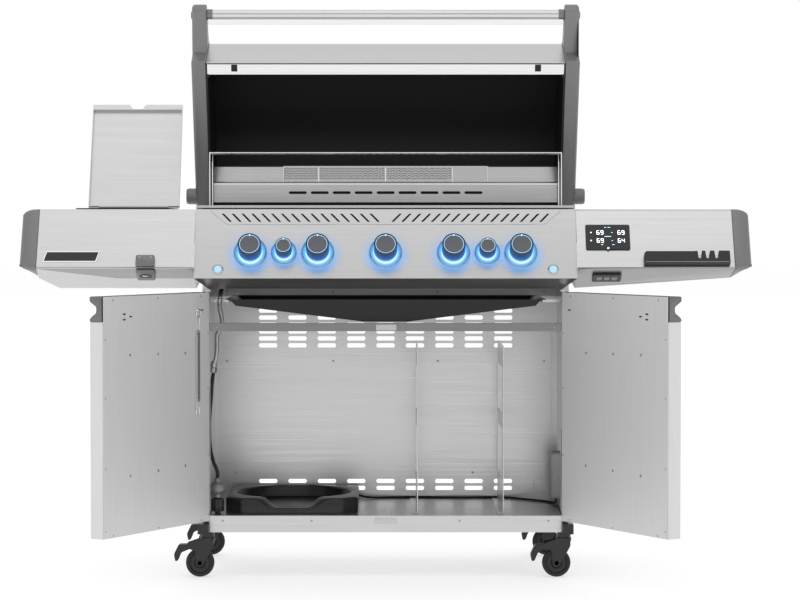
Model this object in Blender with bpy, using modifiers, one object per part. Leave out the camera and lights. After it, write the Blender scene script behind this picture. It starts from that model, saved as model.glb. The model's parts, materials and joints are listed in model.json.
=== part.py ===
"""Gas barbecue grill on a cabinet cart: five burners, a side burner, an open lid and two open doors.

Metres, +Z up, the front faces -Y. Every piece is modelled with the lid and doors shut, in a frame
whose zero is the ground under the control panel's lower edge. Empties on the joint axes then open the
lid and the doors, and the root empty brings the bottom centre of the whole to the world's origin.
"""

import math

import bmesh
import bpy
from mathutils import Matrix, Vector

# ---- clearances and sheet thickness ----
GAP = 0.0003
RUNNING = 0.002
SHEET = 0.002
COVER = 0.003

# ---- cart ----
CART_HALF = 0.494
CART_FRONT = 0.069
CART_BACK = 0.510
CART_TOP = 0.800
OPENING_HALF = 0.476
FLOOR_TOP = 0.166
FLOOR_FRONT = 0.060
FLOOR_FOLD = 0.121
FRAME_LOW = 0.120
FRAME_HIGH = 0.147
RAIL_LOW = 0.665
RAIL_HIGH = 0.687
DIVIDER_TOP = 0.622
DIVIDER_FRONT = 0.125
DIVIDER_BACK = 0.488
DIVIDER_X = (0.086, 0.320)
TRAY_LIP = 0.751
TRAY_HALF = 0.433

# ---- doors ----
DOOR_WIDTH = 0.482
DOOR_THICK = 0.044
DOOR_LOW = 0.152
DOOR_HIGH = 0.771
DOOR_OPEN = 120
HINGE_X = 0.482
HINGE_Y = 0.050
HANDLE_TALL = 0.065
PIN = 0.003
BORE = 0.0035

# ---- firebox and lid ----
BOX_WALL = 0.004
BOX_FRONT = 0.090
BOX_BACK = CART_FRONT + 0.425
BOX_RIM = 1.005
BOX_BACK_TOP = 1.120
GRID_Z = 0.985
BURNER_Z = 0.925
RACK_HALF = 0.4915
LID_PIVOT_Y = 0.477
LID_PIVOT_Z = 1.032
LID_OPEN = 65
LID_HALF = CART_HALF + 0.004
LID_WALL = 0.006
CASTING_OUT = 0.540
BOSS_OUT = 0.568
HANDLE_Y = -0.042
HANDLE_Z = 1.115
HANDLE_RADIUS = 0.014
PIN_RADIUS = 0.006
LID_LINE = [(0.059, 1.009), (0.061, 1.100), (0.070, 1.180), (0.100, 1.228), (0.145, 1.258), (0.200, 1.275),
            (0.300, 1.285), (0.400, 1.283), (0.490, 1.255), (0.560, 1.200), (0.598, 1.140), (0.610, 1.080),
            (0.610, 1.010)]
HORN = [(0.050, 1.062), (-0.030, 1.090), (-0.062, 1.098), (-0.068, 1.126), (-0.040, 1.138), (0.040, 1.158)]

# ---- control panel ----
PANEL_HALF = 0.513
PANEL_TOP = 0.994
PANEL_TOP_Y = 0.086
PANEL_LOW = 0.809
LIP_Y = 0.058
LIP_Z = 0.780
SLOT_PITCH = 0.0266
SLOT_WIDE = 0.0068
KNOB_X = (-0.363, -0.182, 0.0, 0.182, 0.363)
SMALL_KNOB_X = (-0.273, 0.273)
LAMP_X = 0.449
KNOB_Z = 0.8776
LAMP_Z = 0.833

# ---- side shelves ----
SHELF_OUT = 0.934
CAP_OUT = 0.981
SHELF_BACK = 0.460
SHELF_LOW = 0.836
SHELF_UNDER_Y = 0.112
SHELF_UNDER = 0.780
BEVEL_IN = 0.884
SIDE_LID_WIDE = 0.258
SIDE_LID_LONG = 0.325
SIDE_LID_X = -0.714
SIDE_LID_OPEN = 115
SIDE_HINGE_Y = 0.436
BURNER_HALF = 0.116

# ---- casters ----
WHEEL_RADIUS = 0.0385
WHEEL_WIDE = 0.030
CASTER_X = 0.482
CASTER_Y = (0.070, 0.534)
CASTER_TRAIL = 0.020

# ---- cords ----
HOSE_RADIUS = 0.005
LEAD_RADIUS = 0.003


for leftover in list(bpy.data.objects):
    bpy.data.objects.remove(leftover)

PARTS = bpy.data.collections.new("gas_barbecue_grill")
CUTTERS = bpy.data.collections.new("cutters")
bpy.context.scene.collection.children.link(PARTS)
bpy.context.scene.collection.children.link(CUTTERS)
CUTTERS.hide_render = True


def finish(name, grey, roughness, metallic=0.0):
    """A Principled material; grey is one number or a colour of three."""
    made = bpy.data.materials.new(name)
    made.use_nodes = True
    shader = made.node_tree.nodes["Principled BSDF"]
    colour = (grey, grey, grey) if isinstance(grey, float) else grey
    shader.inputs["Base Color"].default_value = (*colour, 1.0)
    shader.inputs["Roughness"].default_value = roughness
    shader.inputs["Metallic"].default_value = metallic
    made.diffuse_color = (*colour, 1.0)
    return made


STEEL = finish("brushed_steel", 0.62, 0.32, 1.0)
BRIGHT = finish("bright_steel", 0.8, 0.15, 1.0)
CASTING = finish("grey_casting", 0.09, 0.5)
BLACK = finish("black_enamel", 0.015, 0.4)
RUBBER = finish("black_rubber", 0.02, 0.8)
KNOB = finish("dark_knob", (0.02, 0.03, 0.06), 0.4)
BRAID = finish("braided_steel", 0.5, 0.4, 1.0)
GLOSS = finish("display_black", 0.01, 0.1)
IRON = finish("cast_iron", 0.03, 0.6)
WHITE = finish("pale_plastic", 0.6, 0.5)
LAMP = finish("blue_lamp", (0.1, 0.4, 0.9), 0.3)


# ---- shapes ----
def from_bmesh(shape, name="piece"):
    mesh = bpy.data.meshes.new(name)
    shape.to_mesh(mesh)
    shape.free()
    made = bpy.data.objects.new(name, mesh)
    CUTTERS.objects.link(made)
    return made


def box(xs, ys, zs):
    """A box between two values along each axis, in any order."""
    low = Vector(map(min, (xs, ys, zs)))
    high = Vector(map(max, (xs, ys, zs)))
    shape = bmesh.new()
    size = Matrix.Diagonal((*(high - low), 1.0))
    bmesh.ops.create_cube(shape, size=1.0, matrix=Matrix.Translation((low + high) / 2) @ size)
    return from_bmesh(shape)


def along(start, end):
    """The matrix that carries the unit segment on Z, centred at zero, to start-end."""
    start, end = Vector(start), Vector(end)
    turn = (end - start).to_track_quat("Z", "Y").to_matrix().to_4x4()
    return Matrix.Translation((start + end) / 2) @ turn


def cylinder(start, end, radius, sides=16, end_radius=None):
    """A round bar or, with end_radius, a cone."""
    shape = bmesh.new()
    bmesh.ops.create_cone(
        shape, cap_ends=True, segments=sides, radius1=radius,
        radius2=radius if end_radius is None else end_radius,
        depth=(Vector(end) - Vector(start)).length, matrix=along(start, end),
    )
    return from_bmesh(shape)


def as_mesh(curve_object):
    """The curve's evaluated mesh as an object, with its caps welded on."""
    bpy.context.view_layer.update()
    graph = bpy.context.evaluated_depsgraph_get()
    mesh = bpy.data.meshes.new_from_object(curve_object.evaluated_get(graph))
    shape = bmesh.new()
    shape.from_mesh(mesh)
    bmesh.ops.remove_doubles(shape, verts=shape.verts, dist=0.00001)
    bmesh.ops.recalc_face_normals(shape, faces=shape.faces)
    shape.to_mesh(mesh)
    shape.free()
    made = bpy.data.objects.new("piece", mesh)
    made.matrix_world = curve_object.matrix_world
    CUTTERS.objects.link(made)
    mesh.transform(made.matrix_world)
    made.matrix_world = Matrix.Identity(4)
    bpy.data.objects.remove(curve_object)
    return made


def flat(outlines, low, high, axis="Z"):
    """Flat outlines, the later ones holes, extruded from low to high along an axis.

    The outline's two numbers are X and Y for Z, Y and Z for X, and X and Z for Y.
    """
    curve = bpy.data.curves.new("outline", "CURVE")
    curve.dimensions = "2D"
    curve.fill_mode = "BOTH"
    curve.extrude = abs(high - low) / 2
    for points in outlines:
        spline = curve.splines.new("POLY")
        spline.points.add(len(points) - 1)
        for point, (u, v) in zip(spline.points, points):
            point.co = (u, v, 0.0, 1.0)
        spline.use_cyclic_u = True
    made = bpy.data.objects.new("outline", curve)
    CUTTERS.objects.link(made)
    middle = (low + high) / 2
    turn = {
        "Z": Matrix.Identity(4),
        "X": Matrix(((0, 0, 1, 0), (1, 0, 0, 0), (0, 1, 0, 0), (0, 0, 0, 1))),
        "Y": Matrix(((1, 0, 0, 0), (0, 0, -1, 0), (0, 1, 0, 0), (0, 0, 0, 1))),
    }[axis]
    shift = {"Z": (0, 0, middle), "X": (middle, 0, 0), "Y": (0, middle, 0)}[axis]
    made.matrix_world = Matrix.Translation(shift) @ turn
    return as_mesh(made)


def tube(points, radius, resolution=2):
    """A round bar along points."""
    curve = bpy.data.curves.new("route", "CURVE")
    curve.dimensions = "3D"
    curve.bevel_depth = radius
    curve.bevel_resolution = resolution
    curve.use_fill_caps = True
    spline = curve.splines.new("POLY")
    spline.points.add(len(points) - 1)
    for point, place in zip(spline.points, points):
        point.co = (*place, 1.0)
    made = bpy.data.objects.new("route", curve)
    CUTTERS.objects.link(made)
    return as_mesh(made)


def turned(profile, steps, start, direction):
    """A profile of (radius, height) pairs from the top down, turned about start-direction."""
    mesh = bpy.data.meshes.new("profile")
    points = [(radius, 0.0, height) for radius, height in profile]
    mesh.from_pydata(points, [(n, n + 1) for n in range(len(points) - 1)], [])
    made = bpy.data.objects.new("profile", mesh)
    CUTTERS.objects.link(made)
    screw = made.modifiers.new("turn", "SCREW")
    screw.steps = screw.render_steps = steps
    screw.use_merge_vertices = True
    screw.merge_threshold = 0.0001
    turn = Vector(direction).to_track_quat("Z", "Y").to_matrix().to_4x4()
    made.matrix_world = Matrix.Translation(start) @ turn
    return as_mesh(made)


def slot(u, v, long, tall):
    """A lying slot with cut corners, centred at (u, v)."""
    a, b = long / 2, tall / 2
    return [(u - a, v), (u - a + b * 0.6, v - b), (u + a - b * 0.6, v - b),
            (u + a, v), (u + a - b * 0.6, v + b), (u - a + b * 0.6, v + b)]


def rectangle(u0, u1, v0, v1):
    return [(u0, v0), (u1, v0), (u1, v1), (u0, v1)]


def offset(points, distance, closed):
    """The points of a line moved sideways to its left, mitred at its corners."""
    moved = []
    count = len(points)
    for n in range(count):
        here = Vector(points[n])
        before = Vector(points[n - 1]) if closed or n else None
        after = Vector(points[(n + 1) % count]) if closed or n < count - 1 else None
        ways = []
        if before is not None:
            ways.append((here - before).normalized())
        if after is not None:
            ways.append((after - here).normalized())
        sides = [Vector((-way.y, way.x)) for way in ways]
        mid = sum(sides, Vector((0.0, 0.0))).normalized()
        moved.append(tuple(here + mid * (distance / mid.dot(sides[0]))))
    return moved


def bent_sheet(points, thickness):
    """The closed outline of a sheet folded along points, its thickness to their left."""
    return points + offset(points, thickness, False)[::-1]


# ---- nodes, and the empties that hold them ----
PLACES = {None: Vector((0, 0, 0))}


def pivot(name, place, parent=None, turn=(0, 0, 0)):
    """An empty on a joint's axis; turn, in degrees, is how far the joint stands open."""
    made = bpy.data.objects.new(name, None)
    made.empty_display_size = 0.05
    PARTS.objects.link(made)
    made.parent = parent
    PLACES[made] = Vector(place)
    made.location = Vector(place) - PLACES[parent]
    made.rotation_euler = [math.radians(angle) for angle in turn]
    return made


def node(name, base, coat, parent, add=(), cut=()):
    """Names a piece, gives it its finish, its unions and cuts, and hangs it on its empty."""
    for helper in (*add, *cut):
        helper.hide_render = True
        helper.display_type = "WIRE"
        helper.name = name + "_cutter"
    for helper, operation in [(h, "UNION") for h in add] + [(h, "DIFFERENCE") for h in cut]:
        change = base.modifiers.new(operation.lower(), "BOOLEAN")
        change.operation = operation
        change.solver = "EXACT"
        change.object = helper
    for piece in (base, *add, *cut):
        piece.data.transform(Matrix.Translation(-PLACES[parent]))
        piece.parent = parent
    CUTTERS.objects.unlink(base)
    PARTS.objects.link(base)
    base.name = name
    base.data.name = name
    base.data.materials.clear()
    base.data.materials.append(coat)
    base.data.shade_smooth()
    base.data.set_sharp_from_angle(angle=math.radians(30))
    return base


ROOT = pivot("grill_root", (0, 0, 0))


# ---- cart ----


def build_floor():
    fold = [(FLOOR_FRONT, FLOOR_FOLD), (FLOOR_FRONT, FLOOR_TOP),
            (CART_BACK - GAP, FLOOR_TOP), (CART_BACK - GAP, FRAME_HIGH)]
    half = OPENING_HALF - GAP
    node("base_tray", flat([bent_sheet(fold, -SHEET)], -half, half, "X"), STEEL, ROOT)


def build_caster_frame():
    """Side and cross beams with four corner blocks, caster cups and the doors' lower pins."""
    under = FLOOR_TOP - SHEET - GAP
    front = FLOOR_FRONT + SHEET + GAP
    bars = ((front, 0.100), (0.460, 0.500))
    crossbars = [box((-0.478, 0.478), ys, (FRAME_LOW + 0.002, FRAME_HIGH - 0.001)) for ys in bars]
    pads = [box((-0.470, 0.470), (ys[0] + 0.001, ys[1]), (FRAME_LOW + 0.005, under)) for ys in bars]
    pieces = [crossbars[1], *pads]
    for side in (-1, 1):
        inner = side * (OPENING_HALF + GAP)
        pieces.append(box((inner, side * CART_HALF), (0.05, 0.56), (FRAME_LOW, FRAME_HIGH)))
        for y in CASTER_Y:
            ends = (y - 0.045, y + 0.035)
            pieces.append(box((inner + side * 0.001, side * 0.506), ends, (FRAME_LOW - 0.0006, FRAME_HIGH - 0.0005)))
            x = side * CASTER_X
            pieces.append(cylinder((x, y, FRAME_LOW - 0.012), (x, y, FRAME_LOW + 0.0005), 0.019, 16))
        x = side * HINGE_X
        pieces.append(cylinder((x, HINGE_Y, 0.140), (x, HINGE_Y, DOOR_LOW + 0.009), PIN, 12))
    node("caster_frame", crossbars[0], BLACK, ROOT, add=pieces)


def build_back_panel():
    half = CART_HALF - SHEET - GAP
    holes = []
    for column in range(-4, 5):
        for z in (0.195, 0.215, 0.605, 0.625, 0.645, 0.665, 0.685, 0.705):
            holes.append(slot(column * 0.0843, z, 0.054, 0.012))
    holes.append([(-0.100 + 0.005 * math.cos(n * math.pi / 4), 0.186 + 0.005 * math.sin(n * math.pi / 4))
                  for n in range(8)])
    outline = rectangle(-half, half, FRAME_HIGH + GAP, 0.790)
    node("back_panel", flat([outline, *holes], CART_BACK, CART_BACK + SHEET, "Y"), STEEL, ROOT)


def build_side_panel(name, side):
    """A folded sheet with front and rear flanges, a drawer runner and the door's upper pin."""
    back = CART_BACK + SHEET + GAP
    fold = [(side * OPENING_HALF, CART_FRONT), (side * CART_HALF, CART_FRONT),
            (side * CART_HALF, back + SHEET), (side * 0.470, back + SHEET)]
    panel = flat([bent_sheet(fold, side * SHEET)], FRAME_HIGH + GAP, CART_TOP)
    wall = side * (CART_HALF - SHEET / 2)
    runner = box((side * 0.428, wall), (0.140, 0.480), (TRAY_LIP - SHEET - 0.008, TRAY_LIP - SHEET - GAP))
    tab = box((side * 0.470, side * 0.494), (0.040, CART_FRONT + 0.001), (0.7735, 0.7765))
    pin = cylinder((side * HINGE_X, HINGE_Y, 0.760), (side * HINGE_X, HINGE_Y, 0.775), PIN, 12)
    node(name, panel, STEEL, ROOT, add=(runner, tab, pin))


def build_front_rail():
    front = FLOOR_FRONT
    fold = [(front + 0.020, RAIL_LOW), (front, RAIL_LOW), (front, RAIL_HIGH), (front + 0.020, RAIL_HIGH)]
    half = OPENING_HALF - GAP
    node("front_rail", flat([bent_sheet(fold, -SHEET)], -half, half, "X"), STEEL, ROOT)


def build_divider(name, x):
    """An upright sheet with a lightening hole and a foot flange."""
    low = FLOOR_TOP + GAP
    outline = rectangle(DIVIDER_FRONT, DIVIDER_BACK, low, DIVIDER_TOP)
    windows = [rectangle(0.190, 0.440, 0.250, 0.390), rectangle(0.190, 0.440, 0.430, 0.560)]
    foot = box((x - 0.016, x + 0.001), (DIVIDER_FRONT + GAP, DIVIDER_BACK - GAP), (low + GAP / 2, low + SHEET))
    node(name, flat([outline, *windows], x, x + SHEET, "X"), STEEL, ROOT, add=(foot,))


def build_tank_tray():
    """A moulded tray with a round dish for the tank and a V notch in its front rim."""
    low, high = FLOOR_TOP + GAP, 0.208
    x0, x1, y0, y1, cut = -0.438, -0.075, 0.106, 0.476, 0.030
    outline = [(x0 + cut, y0), (x1 - cut, y0), (x1, y0 + cut), (x1, y1 - cut),
               (x1 - cut, y1), (x0 + cut, y1), (x0, y1 - cut), (x0, y0 + cut)]
    centre = ((x0 + x1) / 2, 0.306)
    dish = cylinder((*centre, low + 0.008), (*centre, high + 0.02), 0.160, 32)
    notch = flat([[(centre[0] - 0.065, low + 0.010), (centre[0] + 0.065, low + 0.010),
                   (centre[0] + 0.095, high + 0.010), (centre[0] - 0.095, high + 0.010)]],
                 y0 - 0.010, centre[1], "Y")
    node("tank_tray", flat([outline], low, high), BLACK, ROOT, cut=(dish, notch))


def build_drip_tray():
    """A shallow V of sheet under the burners, with a flange on each side that runs on the runners."""
    body = pivot("drip_tray_slide", (0, 0.280, TRAY_LIP), ROOT)
    fold = [(-TRAY_HALF, TRAY_LIP), (-0.420, TRAY_LIP), (-0.405, 0.735), (-0.060, 0.692),
            (0.060, 0.692), (0.405, 0.735), (0.420, TRAY_LIP), (TRAY_HALF, TRAY_LIP)]
    sheet = flat([bent_sheet(fold, -SHEET)], 0.082, 0.480, "Y")
    wall = [(-0.4195, TRAY_LIP - 0.001), (-0.4045, 0.734), (-0.0600, 0.691), (0.0600, 0.691),
            (0.4045, 0.734), (0.4195, TRAY_LIP - 0.001)]
    ends = [flat([wall], 0.0822, 0.0842, "Y"), flat([wall], 0.4778, 0.4798, "Y")]
    node("drip_tray", sheet, STEEL, body, add=ends)


def build_door(name, side):
    """A hollow door, open along its lower edge, with its handle rail along the top."""
    hinge = pivot(name + "_hinge", (side * HINGE_X, HINGE_Y, DOOR_LOW), ROOT, (0, 0, side * DOOR_OPEN))
    inner = HINGE_Y + 0.004
    outer = inner - DOOR_THICK
    edge, free = side * (HINGE_X + 0.008), side * (HINGE_X + 0.008 - DOOR_WIDTH)
    shelf = DOOR_HIGH - HANDLE_TALL
    web = inner - 0.006
    skin = flat([[(outer, DOOR_LOW), (inner, DOOR_LOW), (inner, DOOR_HIGH), (web, DOOR_HIGH),
                  (web, shelf), (outer, shelf)]], edge, free, "X")
    hollow = box((edge - side * 0.018, free + side * SHEET), (outer + SHEET, inner - SHEET),
                 (DOOR_LOW - 0.010, shelf - SHEET))
    pins = [(side * HINGE_X, HINGE_Y, z) for z in (DOOR_LOW - 0.010, DOOR_LOW + 0.012)]
    top = [(side * HINGE_X, HINGE_Y, z) for z in (DOOR_HIGH - 0.014, DOOR_HIGH + 0.010)]
    node(name, skin, STEEL, hinge, cut=(hollow, cylinder(*pins, BORE, 12), cylinder(*top, BORE, 12)))
    low = shelf + GAP
    back = web - GAP
    profile = [(back, low), (outer, low), (outer, low + 0.006), (outer + 0.020, low + 0.022),
               (outer + 0.020, low + 0.040), (outer, DOOR_HIGH - 0.014), (outer, DOOR_HIGH), (back, DOOR_HIGH)]
    node(name + "_handle", flat([profile], edge, free, "X"), CASTING, hinge,
         cut=(cylinder(*top, BORE, 12),))


def build_caster(name, x, y):
    """A swivelling fork, its wheel and its brake pedal, trailing towards -X."""
    swivel = pivot(name + "_swivel", (x, y, 0.110), ROOT)
    axle_x = x - CASTER_TRAIL
    head_top = FRAME_LOW - 0.012 - GAP
    leg = WHEEL_WIDE / 2 + 0.0015
    outline = [(x + 0.018, 0.105), (x - 0.018, 0.105), (x - 0.056, 0.092), (x - 0.056, 0.078),
               (x - 0.034, 0.072), (x - 0.030, 0.030), (x - 0.012, 0.030), (x + 0.018, 0.085)]
    legs = [flat([outline], y + way * leg, y + way * (leg + COVER), "Y") for way in (-1, 1)]
    axle = cylinder((axle_x, y - leg - COVER, WHEEL_RADIUS), (axle_x, y + leg + COVER, WHEEL_RADIUS), 0.004, 12)
    head = cylinder((x, y, 0.096), (x, y, head_top), 0.021, 16)
    node(name + "_fork", head, BLACK, swivel, add=(*legs, axle))

    spin = pivot(name + "_axle", (axle_x, y, WHEEL_RADIUS), swivel)
    half, rim = WHEEL_WIDE / 2, WHEEL_RADIUS
    profile = [(0.0045, half), (0.012, half), (0.014, half - 0.005), (0.026, half - 0.005), (0.028, half),
               (rim - 0.004, half), (rim, half - 0.004)]
    profile += [(radius, -height) for radius, height in profile[::-1]]
    wheel = turned([*profile, profile[0]], 20, (axle_x, y, WHEEL_RADIUS), (0, 1, 0))
    node(name + "_wheel", wheel, RUBBER, spin)

    hinge = pivot(name + "_pedal_hinge", (x - 0.050, y, 0.084), swivel)
    lever = [(x - 0.044, 0.090), (x - 0.078, 0.089), (x - 0.091, 0.062), (x - 0.087, 0.042),
             (x - 0.079, 0.044), (x - 0.070, 0.067), (x - 0.056, 0.073), (x - 0.044, 0.078)]
    inside = leg - GAP
    node(name + "_pedal", flat([lever], y - inside, y + inside, "Y"), BLACK, hinge)


build_floor()
build_caster_frame()
build_back_panel()
build_side_panel("left_side_panel", -1)
build_side_panel("right_side_panel", 1)
build_front_rail()
build_divider("centre_divider", DIVIDER_X[0])
build_divider("right_divider", DIVIDER_X[1])
build_tank_tray()
build_drip_tray()
build_door("left_door", -1)
build_door("right_door", 1)
for place, caster_x, caster_y in (("front_left", -CASTER_X, CASTER_Y[0]), ("front_right", CASTER_X, CASTER_Y[0]),
                                  ("rear_left", -CASTER_X, CASTER_Y[1]), ("rear_right", CASTER_X, CASTER_Y[1])):
    build_caster(place + "_caster", caster_x, caster_y)


# ---- slanted faces of the panel and the shelves ----
def face_place(x, z, foot, proud=0.0):
    """The matrix of a spot on a slanted face whose foot is at Y=0: X across, Y up the slope, Z outwards."""
    up = Vector((0, PANEL_TOP_Y, PANEL_TOP - foot)).normalized()
    out = Vector((0, -up.z, up.y))
    place = Vector((x, (z - foot) / (PANEL_TOP - foot) * PANEL_TOP_Y, z)) + out * proud
    turn = Matrix((Vector((1, 0, 0)), up, out)).transposed().to_4x4()
    return Matrix.Translation(place) @ turn


def set_on(shape, place):
    shape.data.transform(place)
    return shape


# ---- firebox ----
def build_firebox():
    """Sheet bent into a trough, with end walls that carry the lid's pins, and ledges for the grids."""
    wall = CART_HALF - BOX_WALL
    low = CART_TOP + GAP
    fold = [(BOX_FRONT, BOX_RIM), (BOX_FRONT, 0.860), (0.200, low), (0.400, low),
            (BOX_BACK, 0.860), (BOX_BACK, BOX_BACK_TOP)]
    trough = flat([bent_sheet(fold, BOX_WALL)], -CART_HALF, CART_HALF, "X")
    side = [*fold[:5], (BOX_BACK, BOX_BACK_TOP), (0.482, BOX_BACK_TOP), (0.453, 1.056), (0.453, BOX_RIM)]
    pieces = []
    for way in (-1, 1):
        pieces.append(flat([offset(side, BOX_WALL / 8, True)], way * wall, way * (CART_HALF - GAP), "X"))
        pin = [(way * x, LID_PIVOT_Y, LID_PIVOT_Z) for x in (wall + 0.001, BOSS_OUT - 0.008)]
        pieces.append(cylinder(*pin, PIN_RADIUS, 16))
    ledge = (GRID_Z - 0.012, GRID_Z - GAP)
    for ys in ((BOX_FRONT + 0.001, BOX_FRONT + 0.016), (0.452, BOX_BACK - 0.001)):
        pieces.append(box((-wall - 0.001, wall + 0.001), ys, ledge))
    grease = box((-0.200, 0.200), (0.270, 0.330), (low - 0.020, low + 0.020))
    node("firebox", trough, BLACK, ROOT, add=pieces, cut=(grease,))


def build_rear_burner():
    back, half = BOX_BACK - BOX_WALL - GAP, CART_HALF - BOX_WALL - GAP
    outline = [(back, 1.013), (0.466, 1.013), (0.472, 1.070), (0.480, 1.074), (0.480, 1.116), (back, 1.116)]
    node("rear_burner", flat([outline], -half, half, "X"), STEEL, ROOT)


def build_burner_set():
    """Five tube burners on one manifold that spans the firebox."""
    reach = CART_HALF - BOX_WALL - GAP
    manifold = box((-reach, reach), (0.110, 0.130), (BURNER_Z - 0.010, BURNER_Z + 0.010))
    tubes = [cylinder((x, 0.120, BURNER_Z), (x, 0.470, BURNER_Z), 0.020, 12) for x in KNOB_X]
    node("burner_set", manifold, STEEL, ROOT, add=tubes)


def build_cooking_grid(name, number):
    """One of three cast grids: bars running front to back in a rim with a middle bar."""
    wide = 2 * (CART_HALF - BOX_WALL - RUNNING) / 3
    x0 = -1.5 * wide + number * wide + GAP
    x1 = x0 + wide - 2 * GAP
    y0, y1, middle = BOX_FRONT + BOX_WALL + RUNNING, 0.462, 0.278
    holes = []
    count = 13
    pitch = (x1 - x0 - 0.016) / count
    for n in range(count):
        left = x0 + 0.008 + n * pitch
        for ends in ((y0 + 0.010, middle - 0.004), (middle + 0.004, y1 - 0.010)):
            holes.append(rectangle(left + 0.005, left + pitch - 0.005, *ends))
    lift = pivot(name + "_lift", ((x0 + x1) / 2, middle, GRID_Z), ROOT)
    node(name, flat([rectangle(x0, x1, y0, y1), *holes], GRID_Z, GRID_Z + 0.012), IRON, lift)


def build_warming_rack():
    """A wire shelf on four legs that stand on the firebox's end walls."""
    lift = pivot("warming_rack_lift", (0, 0.360, 1.152), ROOT)
    half, y0, y1 = RACK_HALF, 0.300, 0.420
    count = 24
    pitch = (2 * half - 0.010) / count
    holes = [rectangle(-half + 0.009 + n * pitch, -half + 0.001 + (n + 1) * pitch, y0 + 0.006, y1 - 0.006)
             for n in range(count)]
    legs = [box((way * (half - 0.0025), way * half), ys, (BOX_RIM + GAP, 1.150))
            for way in (-1, 1) for ys in ((y0, y0 + 0.006), (y1 - 0.006, y1))]
    node("warming_rack", flat([rectangle(-half, half, y0, y1), *holes], 1.149, 1.154), BRIGHT, lift, add=legs)


# ---- lid ----
def build_lid():
    hinge = pivot("lid_hinge", (0, LID_PIVOT_Y, LID_PIVOT_Z), ROOT, (-LID_OPEN, 0, 0))
    shell = flat([bent_sheet(LID_LINE, -LID_WALL)], -LID_HALF, LID_HALF, "X")
    inside = offset(LID_LINE, -SHEET / 2, True)
    edge = LID_HALF - SHEET / 4
    ends = [flat([inside], way * (edge - SHEET), way * edge, "X") for way in (-1, 1)]
    lip = box((-edge, edge), (0.062, 0.095), (1.0095, 1.021))
    bores = [cylinder((way * 0.480, LID_PIVOT_Y, LID_PIVOT_Z), (way * 0.520, LID_PIVOT_Y, LID_PIVOT_Z),
                      PIN_RADIUS + 0.0005, 16) for way in (-1, 1)]
    node("lid_shell", shell, STEEL, hinge, add=(*ends, lip), cut=bores)

    proud = offset(LID_LINE, 0.005, False)
    silhouette = [proud[0], *HORN, *proud[2:]]
    pocket = offset(LID_LINE, -0.010, True)
    for name, way in (("lid_left_casting", -1), ("lid_right_casting", 1)):
        inner = way * (LID_HALF + GAP)
        side = flat([silhouette], inner, way * CASTING_OUT, "X")
        spot = [(way * x, LID_PIVOT_Y, LID_PIVOT_Z) for x in (CASTING_OUT - 0.002, BOSS_OUT)]
        bore = [(way * x, LID_PIVOT_Y, LID_PIVOT_Z) for x in (CASTING_OUT - 0.030, BOSS_OUT - 0.006)]
        node(name, side, CASTING, hinge, add=(cylinder(*spot, 0.023, 20),),
             cut=(flat([pocket], inner - way * 0.010, way * (CASTING_OUT - 0.008), "X"),
                  cylinder(*bore, PIN_RADIUS + 0.0005, 16)))
    bar = [(way * LID_HALF, HANDLE_Y, HANDLE_Z) for way in (-1, 1)]
    spine = box((-LID_HALF, LID_HALF), (HANDLE_Y + 0.008, HANDLE_Y + 0.025), (1.0985, 1.111))
    node("lid_handle", cylinder(*bar, HANDLE_RADIUS, 20), BRIGHT, hinge, add=(spine,))


# ---- control panel, knobs and lamps ----
def build_control_panel():
    """A folded fascia with slanted vent slots, lamp holes and cut lower corners."""
    back = BOX_FRONT - GAP
    fold = [(back, PANEL_TOP), (PANEL_TOP_Y, PANEL_TOP), (0.0, PANEL_LOW), (LIP_Y, LIP_Z)]
    sheet = flat([bent_sheet(fold, COVER)], -PANEL_HALF, PANEL_HALF, "X")
    inside = offset([*fold, (back, 0.790)], COVER / 3, True)
    edge = PANEL_HALF - COVER / 6
    ends = [flat([inside], way * edge, way * (edge - COVER), "X") for way in (-1, 1)]
    slots = []
    run = 0.022
    for way in (-1, 1):
        for n in range(16):
            x = way * (0.4396 - n * SLOT_PITCH)
            slots.append([(x - SLOT_WIDE / 2, 0.982), (x + SLOT_WIDE / 2, 0.982),
                          (x + SLOT_WIDE / 2 - way * run, 0.960), (x - SLOT_WIDE / 2 - way * run, 0.960)])
    vents = flat(slots, 0.050, 0.095, "Y")
    corners = [flat([[(way * 0.520, 0.815), (way * 0.470, 0.7735), (way * 0.520, 0.760)]], -0.020, 0.120, "Y")
               for way in (-1, 1)]
    holes = [set_on(cylinder((0, 0, -0.020), (0, 0, 0.020), 0.0118, 16), face_place(way * LAMP_X, LAMP_Z, PANEL_LOW))
             for way in (-1, 1)]
    node("control_panel", sheet, STEEL, ROOT, add=ends, cut=(vents, *corners, *holes))


def build_knob(name, x, radius, face, tall):
    place = face_place(x, KNOB_Z, PANEL_LOW, GAP)
    body = pivot(name + "_stem", place.translation, ROOT)
    profile = [(0.0, tall), (face, tall), (radius, tall - 0.008), (radius, 0.010), (radius - 0.004, 0.0), (0.0, 0.0)]
    shape = turned(profile, 16, (0, 0, 0), (0, 0, 1))
    node(name, set_on(shape, place), KNOB, body)


def build_lamp_button(name, x):
    place = face_place(x, LAMP_Z, PANEL_LOW)
    body = pivot(name + "_slide", place.translation, ROOT)
    profile = [(0.0, 0.0045), (0.007, 0.0045), (0.011, 0.0025), (0.011, -0.008), (0.0, -0.008)]
    node(name, set_on(turned(profile, 16, (0, 0, 0), (0, 0, 1)), place), LAMP, body)


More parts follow.
